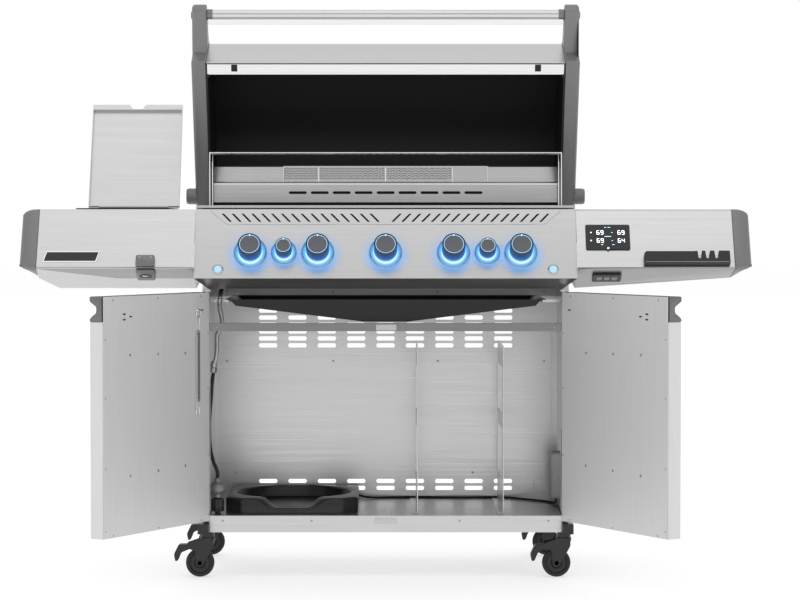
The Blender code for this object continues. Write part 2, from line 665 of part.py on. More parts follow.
build_firebox()
build_rear_burner()
build_burner_set()
for number, grid in enumerate(("left_grid", "middle_grid", "right_grid")):
    build_cooking_grid(grid, number)
build_warming_rack()
build_lid()
build_control_panel()
for number, knob_x in enumerate(KNOB_X):
    build_knob("burner_knob_" + str(number + 1), knob_x, 0.032, 0.026, 0.058)
build_knob("side_burner_knob", SMALL_KNOB_X[0], 0.023, 0.016, 0.050)
build_knob("rear_burner_knob", SMALL_KNOB_X[1], 0.023, 0.016, 0.050)
build_lamp_button("left_lamp_button", -LAMP_X)
build_lamp_button("right_lamp_button", LAMP_X)


# ---- side shelves ----
def build_shelf(name, side, hole=None):
    """A folded shelf, its outer end cut away below and closed with a slanted web."""
    inner, outer = side * (PANEL_HALF + GAP), side * SHELF_OUT
    fold = [(SHELF_BACK, 0.900), (SHELF_BACK, PANEL_TOP), (PANEL_TOP_Y, PANEL_TOP), (0.0, SHELF_LOW),
            (SHELF_UNDER_Y, SHELF_UNDER), (0.300, 0.800)]
    sheet = flat([bent_sheet(fold, COVER)], inner, outer, "X")
    rise = (SHELF_LOW - SHELF_UNDER) / (CAP_OUT - BEVEL_IN)
    far = 1.000
    bevel = [(side * far, SHELF_UNDER + (far - BEVEL_IN) * rise), (side * BEVEL_IN, SHELF_UNDER),
             (side * (BEVEL_IN - 0.02), 0.700), (side * far, 0.700)]
    cuts = [flat([bevel], -0.050, 0.500, "Y")]
    if hole:
        cuts.append(box(*hole, (0.980, 1.010)))
    node(name, sheet, STEEL, ROOT, cut=cuts)

    profile = [(SHELF_BACK, PANEL_TOP), (PANEL_TOP_Y, PANEL_TOP), (0.0, SHELF_LOW),
               (SHELF_UNDER_Y, SHELF_UNDER), (0.300, 0.800), (SHELF_BACK, 0.900)]
    pocket = [(0.450, 0.985), (0.097, 0.985), (0.022, 0.850), (0.450, 0.906)]
    cap = flat([profile], side * (SHELF_OUT + GAP), side * CAP_OUT, "X")
    node(name + "_cap", cap, CASTING, ROOT,
         cut=(flat([pocket], side * (SHELF_OUT - 0.010), side * (CAP_OUT - 0.006), "X"),
              flat([bevel], -0.050, 0.500, "Y")))


def build_side_burner():
    """A pan under a slotted grate; a standing burner head joins its floor."""
    x0, x1 = SIDE_LID_X - BURNER_HALF, SIDE_LID_X + BURNER_HALF
    y0, y1 = 0.120, 0.410
    low = PANEL_TOP + GAP
    bars = [rectangle(x0 + 0.010, x1 - 0.010, y0 + 0.012 + n * 0.045, y0 + 0.045 + n * 0.045) for n in range(6)]
    rim = rectangle(x0 - 0.010, x1 + 0.010, y0 - 0.006, SIDE_HINGE_Y + 0.006)
    plate = flat([rim, *bars], low, low + COVER)
    walls = flat([rectangle(x0 + GAP, x1 - GAP, y0 + GAP, y1 - GAP),
                  rectangle(x0 + COVER, x1 - COVER, y0 + COVER, y1 - COVER)], 0.950, low + 0.001)
    floor = box((x0 + GAP, x1 - GAP), (y0 + GAP, y1 - GAP), (0.948, 0.951))
    centre = (SIDE_LID_X, (y0 + y1) / 2)
    head = cylinder((*centre, 0.950), (*centre, 0.975), 0.040, 20)
    node("side_burner", plate, IRON, ROOT, add=(walls, floor, head))


def build_side_burner_lid():
    """A shallow pan lid with a finger notch; its barrel lies on the grate's rear rim."""
    barrel = 0.0035
    hinge_z = PANEL_TOP + 2 * GAP + COVER + barrel
    hinge = pivot("side_burner_lid_hinge", (SIDE_LID_X, SIDE_HINGE_Y, hinge_z), ROOT, (-SIDE_LID_OPEN, 0, 0))
    x0, x1 = SIDE_LID_X - SIDE_LID_WIDE / 2, SIDE_LID_X + SIDE_LID_WIDE / 2
    y0, y1 = SIDE_HINGE_Y - SIDE_LID_LONG, SIDE_HINGE_Y - 0.002
    low, high = PANEL_TOP + 2 * GAP + COVER, 1.012
    notch = 0.023
    outline = [(x0, y0), (SIDE_LID_X - notch, y0), (SIDE_LID_X - notch * 0.6, y0 + 0.014),
               (SIDE_LID_X + notch * 0.6, y0 + 0.014), (SIDE_LID_X + notch, y0), (x1, y0), (x1, y1), (x0, y1)]
    skirt = flat([outline, rectangle(x0 + SHEET, x1 - SHEET, y0 + 0.014 + SHEET, y1 - SHEET)], low, high)
    top = flat([outline], high - SHEET, high)
    rod = cylinder((x0 + 0.030, SIDE_HINGE_Y, hinge_z), (x1 - 0.030, SIDE_HINGE_Y, hinge_z), barrel, 12)
    node("side_burner_lid", skirt, STEEL, hinge, add=(top, rod))


def build_display():
    """A flat display on the right fascia, with its round button joined to its lower edge."""
    place = face_place(0.597, 0.9175, SHELF_LOW, GAP)
    glass = box((-0.060, 0.060), (-0.038, 0.038), (0.0, 0.004))
    button = cylinder((0.0, -0.036, 0.001), (0.0, -0.036, 0.0055), 0.006, 12)
    for shape in (glass, button):
        set_on(shape, place)
    node("display_module", glass, GLOSS, ROOT, add=(button,))


def build_tool_rail():
    """A hook rail with three notches along its top."""
    place = face_place(0.806, 0.859, SHELF_LOW, GAP)
    half, tall = 0.115, 0.019
    top = []
    for x in (0.085, 0.061, 0.040):
        top += [(x, tall), (x - 0.002, -0.004), (x - 0.010, -0.004), (x - 0.012, tall)]
    rail = flat([[(-half, -tall), (half, -tall), (half, tall), *top, (-half, tall * 0.5)]], 0.0, 0.018)
    node("tool_rail", set_on(rail, place), BLACK, ROOT)


# ---- gas line and wiring ----
GAS_Y = 0.110
CONNECTOR_ROUTE = [(-0.448, GAS_Y + 0.095, 0.786), (-0.448, GAS_Y + 0.060, 0.781), (-0.449, GAS_Y, 0.758),
                   (-0.451, GAS_Y, 0.733), (-0.444, GAS_Y, 0.690), (-0.449, GAS_Y, 0.668),
                   (-0.458, GAS_Y, 0.652), (-0.458, GAS_Y, 0.625), (-0.460, GAS_Y, 0.600), (-0.465, GAS_Y, 0.569)]
HOSE_ROUTE = [(-0.468, GAS_Y, 0.549), (-0.4701, GAS_Y, 0.535), (-0.4725, GAS_Y, 0.515), (-0.474, GAS_Y, 0.485),
              (-0.477, GAS_Y, 0.450), (-0.479, GAS_Y, 0.415), (-0.479, GAS_Y, 0.380), (-0.477, GAS_Y, 0.350),
              (-0.473, GAS_Y, 0.325), (-0.467, GAS_Y, 0.304), (-0.460, GAS_Y, 0.288), (-0.457, GAS_Y, 0.275),
              (-0.457, GAS_Y, 0.263)]
LEAD_ROUTE = [(0.478, 0.330, 0.1855), (0.478, 0.330, 0.1800), (0.477, 0.335, 0.1738), (0.473, 0.350, 0.1697),
              (0.464, 0.372, 0.1693), (0.450, 0.395, 0.1693), (0.430, 0.418, 0.1693), (0.405, 0.442, 0.1693),
              (0.372, 0.472, 0.1693), (0.338, 0.4935, 0.1693), (0.305, 0.4995, 0.1693), (0.255, 0.4945, 0.1693),
              (0.210, 0.4925, 0.1693), (0.165, 0.4985, 0.1693), (0.125, 0.5045, 0.1693), (0.085, 0.5049, 0.1693),
              (0.045, 0.500, 0.1693), (0.005, 0.493, 0.1693), (-0.030, 0.487, 0.1695), (-0.058, 0.484, 0.1720),
              (-0.080, 0.485, 0.1778), (-0.094, 0.489, 0.1830), (-0.099, 0.496, 0.1855), (-0.100, 0.503, 0.1860),
              (-0.100, 0.511, 0.1860)]


def smooth(route, spacing):
    """Points a spacing apart on the smooth curve through a route's own points."""
    knots = [Vector(point) for point in route]
    knots = [2 * knots[0] - knots[1], *knots, 2 * knots[-1] - knots[-2]]
    points = []
    for before, a, b, after in zip(knots, knots[1:], knots[2:], knots[3:]):
        steps = max(1, round((b - a).length / spacing))
        for n in range(steps):
            t = n / steps
            points.append(0.5 * (2 * a + (b - before) * t + (2 * before - 5 * a + 4 * b - after) * t * t
                                 + (3 * a - before - 3 * b + after) * t ** 3))
    points.append(knots[-2])
    return points


def build_gas_line():
    """The held flexible connector with its coupling, the free hose and the regulator on its end."""
    start, end = Vector(CONNECTOR_ROUTE[-1]), Vector(HOSE_ROUTE[0])
    coupling = cylinder(start + Vector((0, 0, 0.004)), end + Vector((0, 0, GAP)), 0.009, 12)
    stub = CONNECTOR_ROUTE[0]
    elbow = cylinder((stub[0], stub[1], stub[2] - 0.008), (stub[0], stub[1], CART_TOP), 0.009, 12)
    connector = tube(smooth(CONNECTOR_ROUTE, 0.012), 0.0065, 2)
    node("flex_connector", connector, BRAID, ROOT, add=(coupling, elbow))
    node("gas_hose", tube(smooth(HOSE_ROUTE, 0.018), HOSE_RADIUS, 2), RUBBER, ROOT)
    x, y, top = HOSE_ROUTE[-1]
    heights = [(0.008, 0.0), (0.010, -0.012), (0.022, -0.018), (0.024, -0.034), (0.011, -0.044),
               (0.011, -0.052), (0.018, -0.056), (0.018, -0.090), (0.008, top - 0.263 - 0.0964)]
    profile = [(0.0, 0.0), *heights, (0.0, heights[-1][1])]
    node("regulator", turned(profile, 16, (x, y, top - GAP), (0, 0, 1)), BRAID, ROOT)


def build_wiring():
    wall = CART_HALF - SHEET - GAP
    supply = box((0.462, wall), (0.300, 0.380), (0.186, 0.315))
    bracket = box((wall - COVER, wall), (0.310, 0.370), (0.314, 0.376))
    node("power_supply", supply, WHITE, ROOT, add=(bracket,))
    node("power_lead", tube(smooth(LEAD_ROUTE, 0.010), LEAD_RADIUS, 2), RUBBER, ROOT)


hole = ((SIDE_LID_X - BURNER_HALF, SIDE_LID_X + BURNER_HALF), (0.120, 0.410))
build_shelf("left_shelf", -1, hole)
build_shelf("right_shelf", 1)
build_side_burner()
build_side_burner_lid()
build_display()
build_tool_rail()
build_gas_line()
build_wiring()


# ---- the object's own origin: the middle of its bottom ----
def centre_on_ground():
    """Moves the root so that the rest bounding box's bottom centre lies on the world's origin."""
    bpy.context.view_layer.update()
    graph = bpy.context.evaluated_depsgraph_get()
    corners = []
    for piece in PARTS.objects:
        if piece.type == "MESH":
            shown = piece.evaluated_get(graph)
            corners += [piece.matrix_world @ vertex.co for vertex in shown.data.vertices]
    lows = [min(corner[n] for corner in corners) for n in range(3)]
    highs = [max(corner[n] for corner in corners) for n in range(3)]
    ROOT.location = (-(lows[0] + highs[0]) / 2, -(lows[1] + highs[1]) / 2, -lows[2])


centre_on_ground()
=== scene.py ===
"""The finished look of a five-burner gas barbecue grill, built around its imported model.

Metres, +X right, +Y back, +Z up. Each piece is a surface worked out with numpy, at the place that the
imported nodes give, and rides on the body of the node that it belongs to.
"""

import json
import math

import bmesh
import bpy
import numpy as np
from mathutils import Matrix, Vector


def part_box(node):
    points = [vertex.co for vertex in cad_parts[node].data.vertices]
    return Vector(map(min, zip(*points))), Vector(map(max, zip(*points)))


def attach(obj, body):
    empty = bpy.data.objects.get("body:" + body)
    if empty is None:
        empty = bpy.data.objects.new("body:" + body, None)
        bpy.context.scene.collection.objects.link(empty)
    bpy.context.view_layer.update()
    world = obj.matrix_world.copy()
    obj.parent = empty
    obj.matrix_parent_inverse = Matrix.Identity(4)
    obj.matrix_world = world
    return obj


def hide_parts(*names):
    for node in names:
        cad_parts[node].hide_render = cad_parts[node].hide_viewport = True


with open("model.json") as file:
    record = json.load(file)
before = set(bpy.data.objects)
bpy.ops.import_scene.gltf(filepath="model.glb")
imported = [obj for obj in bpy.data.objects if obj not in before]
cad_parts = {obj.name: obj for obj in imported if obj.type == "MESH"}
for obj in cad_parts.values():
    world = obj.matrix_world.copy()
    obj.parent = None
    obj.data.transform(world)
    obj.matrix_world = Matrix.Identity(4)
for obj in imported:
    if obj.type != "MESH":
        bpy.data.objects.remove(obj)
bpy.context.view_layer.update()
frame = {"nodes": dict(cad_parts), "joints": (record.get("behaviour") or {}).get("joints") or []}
for packed in bpy.data.materials:
    packed.name = "packed_" + packed.name

# ---- places read from the frame ----
JOINTS = {joint["name"]: joint for joint in frame["joints"]}
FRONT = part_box("control_panel")[0].y
GROUND = 0.0
TO_FRAME = np.array((0.0, FRONT, 0.0))
LID_PIVOT = np.array(JOINTS["lid_hinge"]["pos_m"]) - TO_FRAME
LID_OPEN = math.radians(65)
DOOR_OPEN = math.radians(120)


# ---- camera, floor and light ----
def point_at(made, target):
    made.rotation_euler = (Vector(target) - made.location).to_track_quat("-Z", "Y").to_euler()


def set_camera():
    """A long lens seven metres in front of the panel, at shelf height, tipped a little down."""
    camera = bpy.data.cameras.new("camera")
    camera.lens = 117.9
    camera.sensor_width = 36.0
    camera.shift_x = 0.018
    made = bpy.data.objects.new("camera", camera)
    bpy.context.scene.collection.objects.link(made)
    made.location = (0.0, FRONT - 7.0, 0.970)
    made.rotation_euler = (math.radians(90 - 1.79), 0.0, 0.0)
    bpy.context.scene.camera = made
    bpy.context.scene.view_settings.view_transform = "Standard"


def area_light(name, place, target, size, power, colour=(1.0, 1.0, 1.0)):
    light = bpy.data.lights.new(name, "AREA")
    light.shape = "RECTANGLE"
    light.size, light.size_y = size
    light.energy = power
    light.color = colour
    made = bpy.data.objects.new(name, light)
    bpy.context.scene.collection.objects.link(made)
    made.location = place
    point_at(made, target)
    return made


def set_stage():
    """A pale floor under a light, even studio world with a darker band low down."""
    bpy.ops.mesh.primitive_plane_add(size=40.0, location=(0.0, 8.0, GROUND - 0.0005))
    floor = bpy.context.object
    floor.name = "floor"
    coat = bpy.data.materials.new("floor")
    coat.use_nodes = True
    shader = coat.node_tree.nodes["Principled BSDF"]
    shader.inputs["Base Color"].default_value = (0.58, 0.58, 0.585, 1.0)
    shader.inputs["Roughness"].default_value = 0.9
    shader.inputs["Emission Color"].default_value = (1.0, 1.0, 1.0, 1.0)
    shader.inputs["Emission Strength"].default_value = 0.58
    floor.data.materials.append(coat)

    world = bpy.data.worlds.new("studio")
    bpy.context.scene.world = world
    world.use_nodes = True
    nodes, links = world.node_tree.nodes, world.node_tree.links
    where = nodes.new("ShaderNodeTexCoord")
    split = nodes.new("ShaderNodeSeparateXYZ")
    ramp = nodes.new("ShaderNodeValToRGB")
    links.new(where.outputs["Generated"], split.inputs["Vector"])
    lift = nodes.new("ShaderNodeMath")
    lift.operation = "MULTIPLY_ADD"
    lift.inputs[1].default_value = 0.5
    lift.inputs[2].default_value = 0.5
    links.new(split.outputs["Z"], lift.inputs[0])
    links.new(lift.outputs["Value"], ramp.inputs["Fac"])
    stops = ramp.color_ramp.elements
    stops[0].position, stops[0].color = 0.0, (0.7, 0.7, 0.7, 1.0)
    stops[1].position, stops[1].color = 1.0, (1.0, 1.0, 1.0, 1.0)
    for position, grey in ((0.44, 0.86), (0.50, 1.0), (0.62, 1.0), (0.72, 0.45), (0.84, 0.9)):
        stop = stops.new(position)
        stop.color = (grey, grey, grey, 1.0)
    links.new(ramp.outputs["Color"], nodes["Background"].inputs["Color"])
    room = nodes.new("ShaderNodeMapRange")
    room.interpolation_type = "SMOOTHSTEP"
    room.inputs["From Min"].default_value = -0.35
    room.inputs["From Max"].default_value = 0.45
    room.inputs["To Min"].default_value = 0.80
    room.inputs["To Max"].default_value = 1.02
    links.new(split.outputs["Y"], room.inputs["Value"])
    links.new(room.outputs["Result"], nodes["Background"].inputs["Strength"])

    area_light("overhead", (0.0, -1.6, 4.2), (0.0, 0.2, 0.8), (4.5, 2.0), 14)
    area_light("left_wall", (-4.5, -3.0, 1.8), (0.0, 0.0, 0.8), (2.0, 3.0), 7)
    area_light("right_wall", (4.5, -3.0, 1.8), (0.0, 0.0, 0.8), (2.0, 3.0), 5)
    area_light("rear", (0.0, 4.5, 3.0), (0.0, 0.2, 0.9), (5.0, 2.0), 10)


# ---- materials ----
def coat(name, colour, roughness, metallic=0.0):
    """A Principled material with its constant values on its own sockets."""
    made = bpy.data.materials.new(name)
    made.use_nodes = True
    shader = made.node_tree.nodes["Principled BSDF"]
    shader.inputs["Base Color"].default_value = (*colour, 1.0)
    shader.inputs["Roughness"].default_value = roughness
    shader.inputs["Metallic"].default_value = metallic
    return made


def stretched_noise(material, stretch, scale=1.0, detail=4.0, turn=(0.0, 0.0, 0.0)):
    """Noise in Object coordinates, drawn out along the axes where stretch is small."""
    nodes, links = material.node_tree.nodes, material.node_tree.links
    where = nodes.new("ShaderNodeTexCoord")
    mapping = nodes.new("ShaderNodeMapping")
    mapping.inputs["Scale"].default_value = stretch
    mapping.inputs["Rotation"].default_value = turn
    noise = nodes.new("ShaderNodeTexNoise")
    noise.inputs["Scale"].default_value = scale
    noise.inputs["Detail"].default_value = detail
    links.new(where.outputs["Object"], mapping.inputs["Vector"])
    links.new(mapping.outputs["Vector"], noise.inputs["Vector"])
    return noise


def vary_colour(material, noise, dark, light, low=0.35, high=0.65):
    nodes, links = material.node_tree.nodes, material.node_tree.links
    ramp = nodes.new("ShaderNodeValToRGB")
    ramp.color_ramp.elements[0].position, ramp.color_ramp.elements[0].color = low, (*dark, 1.0)
    ramp.color_ramp.elements[1].position, ramp.color_ramp.elements[1].color = high, (*light, 1.0)
    links.new(noise.outputs["Fac"], ramp.inputs["Fac"])
    links.new(ramp.outputs["Color"], nodes["Principled BSDF"].inputs["Base Color"])


def vary_roughness(material, noise, low, high):
    nodes, links = material.node_tree.nodes, material.node_tree.links
    spread = nodes.new("ShaderNodeMapRange")
    spread.inputs["From Min"].default_value = 0.3
    spread.inputs["From Max"].default_value = 0.7
    spread.inputs["To Min"].default_value = low
    spread.inputs["To Max"].default_value = high
    links.new(noise.outputs["Fac"], spread.inputs["Value"])
    links.new(spread.outputs["Result"], nodes["Principled BSDF"].inputs["Roughness"])


def raise_bumps(material, noise, strength, depth):
    nodes, links = material.node_tree.nodes, material.node_tree.links
    bump = nodes.new("ShaderNodeBump")
    bump.inputs["Strength"].default_value = strength
    bump.inputs["Distance"].default_value = depth
    links.new(noise.outputs["Fac"], bump.inputs["Height"])
    links.new(bump.outputs["Normal"], nodes["Principled BSDF"].inputs["Normal"])


def brushed(name, grey, roughness, along, turn=(0.0, 0.0, 0.0)):
    """Satin steel with fine grinding lines that run along one axis, and faint wide cloudiness."""
    made = coat(name, (grey, grey, grey * 1.01), roughness, 1.0)
    fine = {"X": (6.0, 900.0, 900.0), "Y": (900.0, 6.0, 900.0), "Z": (900.0, 900.0, 6.0)}[along]
    lines = stretched_noise(made, fine, 1.0, 3.0, turn)
    vary_colour(made, lines, (grey * 0.955,) * 3, (grey * 1.045,) * 3, 0.3, 0.7)
    clouds = stretched_noise(made, fine, 0.35, 2.0, turn)
    vary_roughness(made, clouds, roughness - 0.03, roughness + 0.05)
    raise_bumps(made, lines, 0.04, 0.0003)
    return made


def speckled(name, dark, light, roughness, grain, depth, metallic=0.0):
    """Paint, cast metal or moulded plastic with a fine even grain in colour and height."""
    made = coat(name, light, roughness, metallic)
    noise = stretched_noise(made, (grain,) * 3, 1.0, 5.0)
    vary_colour(made, noise, dark, light)
    vary_roughness(made, noise, roughness - 0.05, roughness + 0.08)
    raise_bumps(made, noise, 0.25, depth)
    return made


def glowing(name, colour, strength):
    made = coat(name, colour, 0.3)
    shader = made.node_tree.nodes["Principled BSDF"]
    shader.inputs["Emission Color"].default_value = (*colour, 1.0)
    shader.inputs["Emission Strength"].default_value = strength
    return made


STEEL = brushed("brushed_steel", 0.62, 0.30, "X")
DOOR_STEEL = brushed("door_steel", 0.74, 0.50, "Z")
DOOR_STEEL.node_tree.nodes["Principled BSDF"].inputs["Metallic"].default_value = 0.45
BRIGHT = brushed("bright_steel", 0.82, 0.16, "X")
DARK_STEEL = brushed("dark_steel", 0.25, 0.36, "X")
CASTING = speckled("grey_casting", (0.20,) * 3, (0.26,) * 3, 0.40, 700.0, 0.0004, 0.4)
ENAMEL = speckled("black_enamel", (0.006,) * 3, (0.014,) * 3, 0.32, 300.0, 0.0003)
PLASTIC = speckled("black_plastic", (0.012,) * 3, (0.022,) * 3, 0.42, 900.0, 0.0003)
RUBBER = speckled("black_rubber", (0.010,) * 3, (0.022,) * 3, 0.72, 500.0, 0.0003)
KNOB_GREY = speckled("knob_grey", (0.110, 0.112, 0.125), (0.135, 0.138, 0.150), 0.42, 900.0, 0.0002)
WHITE = speckled("pale_plastic", (0.46,) * 3, (0.56,) * 3, 0.5, 400.0, 0.0003)
GLASS = speckled("display_black", (0.004,) * 3, (0.008,) * 3, 0.12, 200.0, 0.00005)
BRAID = speckled("braided_steel", (0.35,) * 3, (0.75,) * 3, 0.35, 900.0, 0.0008, 1.0)
BLUE = glowing("blue_light", (0.05, 0.42, 1.0), 2.6)
PALE_BLUE = glowing("pale_blue_light", (0.45, 0.75, 1.0), 1.6)
WHITE_LIGHT = glowing("white_light", (0.85, 0.93, 1.0), 1.6)
HANDLE_STEEL = brushed("handle_steel", 0.70, 0.26, "X")
BEZEL_STEEL = speckled("bezel_steel", (0.50,) * 3, (0.60,) * 3, 0.22, 600.0, 0.00005, 1.0)
LINER = speckled("liner_enamel", (0.004,) * 3, (0.009,) * 3, 0.45, 220.0, 0.0003)
RING_BLUE = glowing("ring_light", (0.35, 0.68, 0.92), 0.75)


def lit(name, colour, roughness, metallic, light, strength):
    """Painted light: a material that also shines, by each point's own glow value."""
    made = speckled(name, tuple(c * 0.9 for c in colour), colour, roughness, 600.0, 0.00005, metallic)
    nodes, links = made.node_tree.nodes, made.node_tree.links
    shader = nodes["Principled BSDF"]
    glow = nodes.new("ShaderNodeAttribute")
    glow.attribute_name = "glow"
    ramp = nodes.new("ShaderNodeValToRGB")
    stops = ramp.color_ramp.elements
    stops[0].position, stops[0].color = 0.0, (0.0, 0.0, 0.0, 1.0)
    stops[1].position, stops[1].color = 1.0, (0.75, 0.93, 1.0, 1.0)
    middle = stops.new(0.5)
    middle.color = (*light, 1.0)
    links.new(glow.outputs["Fac"], ramp.inputs["Fac"])
    links.new(ramp.outputs["Color"], shader.inputs["Emission Color"])
    shader.inputs["Emission Strength"].default_value = strength
    return made


def halo_light(name, colour, strength):
    """Light that falls on the panel round a knob: it is as solid as each point's own glow value."""
    made = coat(name, colour, 0.4)
    nodes, links = made.node_tree.nodes, made.node_tree.links
    shader = nodes["Principled BSDF"]
    shader.inputs["Emission Color"].default_value = (*colour, 1.0)
    shader.inputs["Emission Strength"].default_value = strength
    glow = nodes.new("ShaderNodeAttribute")
    glow.attribute_name = "glow"
    links.new(glow.outputs["Fac"], shader.inputs["Alpha"])
    return made


# Knob grips: dark blue plastic with painted blue light from below, strongest at the foot.
KNOB_SIDE_PAINTED_LIGHT = lit("knob_side_painted_light", (0.014, 0.035, 0.11), 0.30, 0.0, (0.02, 0.22, 0.75), 0.9)
# Bezels: bright steel with painted white and blue light near the knob.
BEZEL_PAINTED_LIGHT = lit("bezel_painted_light", (0.52, 0.54, 0.56), 0.20, 1.0, (0.10, 0.50, 0.95), 1.0)
HALO = halo_light("halo_light", (0.18, 0.48, 0.95), 0.7)
LAMP_BLUE = glowing("lamp_blue", (0.42, 0.68, 0.84), 0.35)
PRESSED = brushed("pressed_steel", 0.50, 0.34, "X")
# Painted shade: a darker copy of the brushed steel for the shelf undersides that face down.
SHADED_UNDER_STEEL = brushed("painted_shade_under_steel", 0.36, 0.34, "X")
GRID_STEEL = brushed("grid_steel", 0.55, 0.35, "X")
SCREW_STEEL = speckled("screw_steel", (0.36,) * 3, (0.46,) * 3, 0.30, 600.0, 0.00005, 1.0)
CLIP_STEEL = speckled("clip_steel", (0.50,) * 3, (0.62,) * 3, 0.28, 600.0, 0.00005, 1.0)
CHAIN_STEEL = speckled("chain_steel", (0.10,) * 3, (0.20,) * 3, 0.40, 600.0, 0.0002, 1.0)
GRIP = speckled("grip_plastic", (0.16,) * 3, (0.21,) * 3, 0.42, 700.0, 0.0003, 0.4)
CASTER_BLACK = speckled("caster_black", (0.010,) * 3, (0.018,) * 3, 0.38, 700.0, 0.0002)
TRAY_PLASTIC = speckled("tray_plastic", (0.014,) * 3, (0.024,) * 3, 0.30, 500.0, 0.0003)


# ---- surfaces: a shape is (points, faces), with Y measured from the foot of the control panel ----
def surface(points, wrap_u=False, wrap_v=False, cap=False):
    """Quads over a grid of points (rows, columns, 3); a wrapped side joins its end to its start."""
    rows, columns = points.shape[:2]
    u = np.arange(rows if wrap_u else rows - 1)
    v = np.arange(columns if wrap_v else columns - 1)
    a, b = np.meshgrid(u, v, indexing="ij")
    c, d = (a + 1) % rows, (b + 1) % columns
    quads = np.stack([a * columns + b, a * columns + d, c * columns + d, c * columns + b], -1)
    faces = quads.reshape(-1, 4).tolist()
    if cap:
        faces.append(list(range(columns))[::-1])
        faces.append(list(range((rows - 1) * columns, rows * columns)))
    return points.reshape(-1, 3), faces


def joined(*shapes):
    """Several shapes as one."""
    starts = np.cumsum([0] + [len(points) for points, _ in shapes])
    faces = [[corner + start for corner in face]
             for (_, some), start in zip(shapes, starts.tolist()) for face in some]
    return np.concatenate([points for points, _ in shapes]), faces


def moved(shape, matrix):
    """The shape under a 4 by 4 matrix: each point p becomes R p + t."""
    points, faces = shape
    return points @ matrix[:3, :3].T + matrix[:3, 3], faces


def shifted(shape, x=0.0, y=0.0, z=0.0):
    return shape[0] + np.array((x, y, z)), shape[1]


def mirrored(shape):
    """The shape seen in the plane X = 0, its faces turned round."""
    return shape[0] * np.array((-1.0, 1.0, 1.0)), [face[::-1] for face in shape[1]]


def turn_about(place, axis, angle):
    """The matrix of a turn by angle about a line through place: Rodrigues' formula."""
    x, y, z = np.array(axis, float) / np.linalg.norm(axis)
    cross = np.array([[0, -z, y], [z, 0, -x], [-y, x, 0]])
    turn = np.eye(3) + math.sin(angle) * cross + (1 - math.cos(angle)) * cross @ cross
    made = np.eye(4)
    made[:3, :3] = turn
    made[:3, 3] = np.array(place) - turn @ np.array(place)
    return made


def stand(place, across, out):
    """The matrix that puts local X along across, local Z along out and zero at place."""
    z = np.array(out, float) / np.linalg.norm(out)
    x = np.array(across, float)
    x = x - z * (x @ z)
    x /= np.linalg.norm(x)
    made = np.eye(4)
    made[:3, :3] = np.stack([x, np.cross(z, x), z], 1)
    made[:3, 3] = place
    return made


ALONG = {"X": stand((0, 0, 0), (0, 1, 0), (1, 0, 0)),
         "Y": stand((0, 0, 0), (0, 0, 1), (0, 1, 0)),
         "Z": np.eye(4)}


def rounded(wide, tall, radius, steps=5):
    """A rectangle round the origin with quarter circles at its corners."""
    angle = np.linspace(0, math.pi / 2, steps)
    corner = np.stack([np.cos(angle), np.sin(angle)], 1) * radius
    quarter = [(1, 1, 0), (-1, 1, 1), (-1, -1, 2), (1, -1, 3)]
    parts = []
    for sx, sy, n in quarter:
        c, s = math.cos(n * math.pi / 2), math.sin(n * math.pi / 2)
        spun = corner @ np.array([[c, s], [-s, c]])
        parts.append(spun + (sx * (wide / 2 - radius), sy * (tall / 2 - radius)))
    return np.concatenate(parts)


def circle(radius, steps=24):
    angle = round_angles(steps)
    return np.stack([np.cos(angle), np.sin(angle)], 1) * radius


def inset(outline, distance):
    """A closed line moved to its left, mitred: each point slides along its corner's bisector."""
    before = outline - np.roll(outline, 1, 0)
    after = np.roll(outline, -1, 0) - outline
    before /= np.linalg.norm(before, axis=1)[:, None]
    after /= np.linalg.norm(after, axis=1)[:, None]
    side_a = np.stack([-before[:, 1], before[:, 0]], 1)
    side_b = np.stack([-after[:, 1], after[:, 0]], 1)
    middle = side_a + side_b
    middle /= np.linalg.norm(middle, axis=1)[:, None]
    reach = distance / np.maximum((middle * side_a).sum(1), 0.3)
    return outline + middle * reach[:, None]


def counterclockwise(outline):
    outline = np.asarray(outline, float)
    x, y = outline[:, 0], outline[:, 1]
    area = (x * np.roll(y, -1) - y * np.roll(x, -1)).sum()
    return outline if area > 0 else outline[::-1]


def slab(outline, low, high, bevel=0.0, axis="Z"):
    """A plate with a closed outline, from low to high along an axis, its edges cut by bevel.

    The outline's two numbers are X, Y for Z; Y, Z for X; and Z, X for Y.
    """
    edge = counterclockwise(outline)
    if bevel:
        inner = inset(edge, bevel)
        rings = [(inner, low), (edge, low + bevel), (edge, high - bevel), (inner, high)]
    else:
        rings = [(edge, low), (edge, high)]
    grid = np.stack([np.column_stack([ring, np.full(len(ring), height)]) for ring, height in rings])
    return moved(surface(grid, wrap_v=True, cap=True), ALONG[axis])


def block(xs, ys, zs, bevel=0.001, radius=None):
    """A box with cut edges between two values on each axis."""
    wide, deep = abs(xs[1] - xs[0]), abs(ys[1] - ys[0])
    bevel = min(bevel, abs(zs[1] - zs[0]) * 0.45, wide * 0.3, deep * 0.3)
    outline = rounded(wide, deep, min(radius or bevel * 1.5, wide * 0.45, deep * 0.45), 4)
    made = slab(outline, min(zs), max(zs), bevel)
    return shifted(made, (xs[0] + xs[1]) / 2, (ys[0] + ys[1]) / 2)


def round_angles(steps):
    return np.linspace(0, 2 * math.pi, steps, endpoint=False)


def lathe(profile, steps=32, matrix=None, carve=None):
    """A profile of (radius, height) carried round Z: x = r cos a, y = r sin a, z = h, less carve(r, h, a)."""
    profile = np.asarray(profile, float)
    angle = round_angles(steps)
    r, h = profile[:, :1], profile[:, 1:]
    if carve:
        r = r - carve(r, h, angle)
    grid = np.stack([r * np.cos(angle), r * np.sin(angle), h + 0 * angle], -1)
    made = surface(grid, wrap_v=True)
    return made if matrix is None else moved(made, matrix)


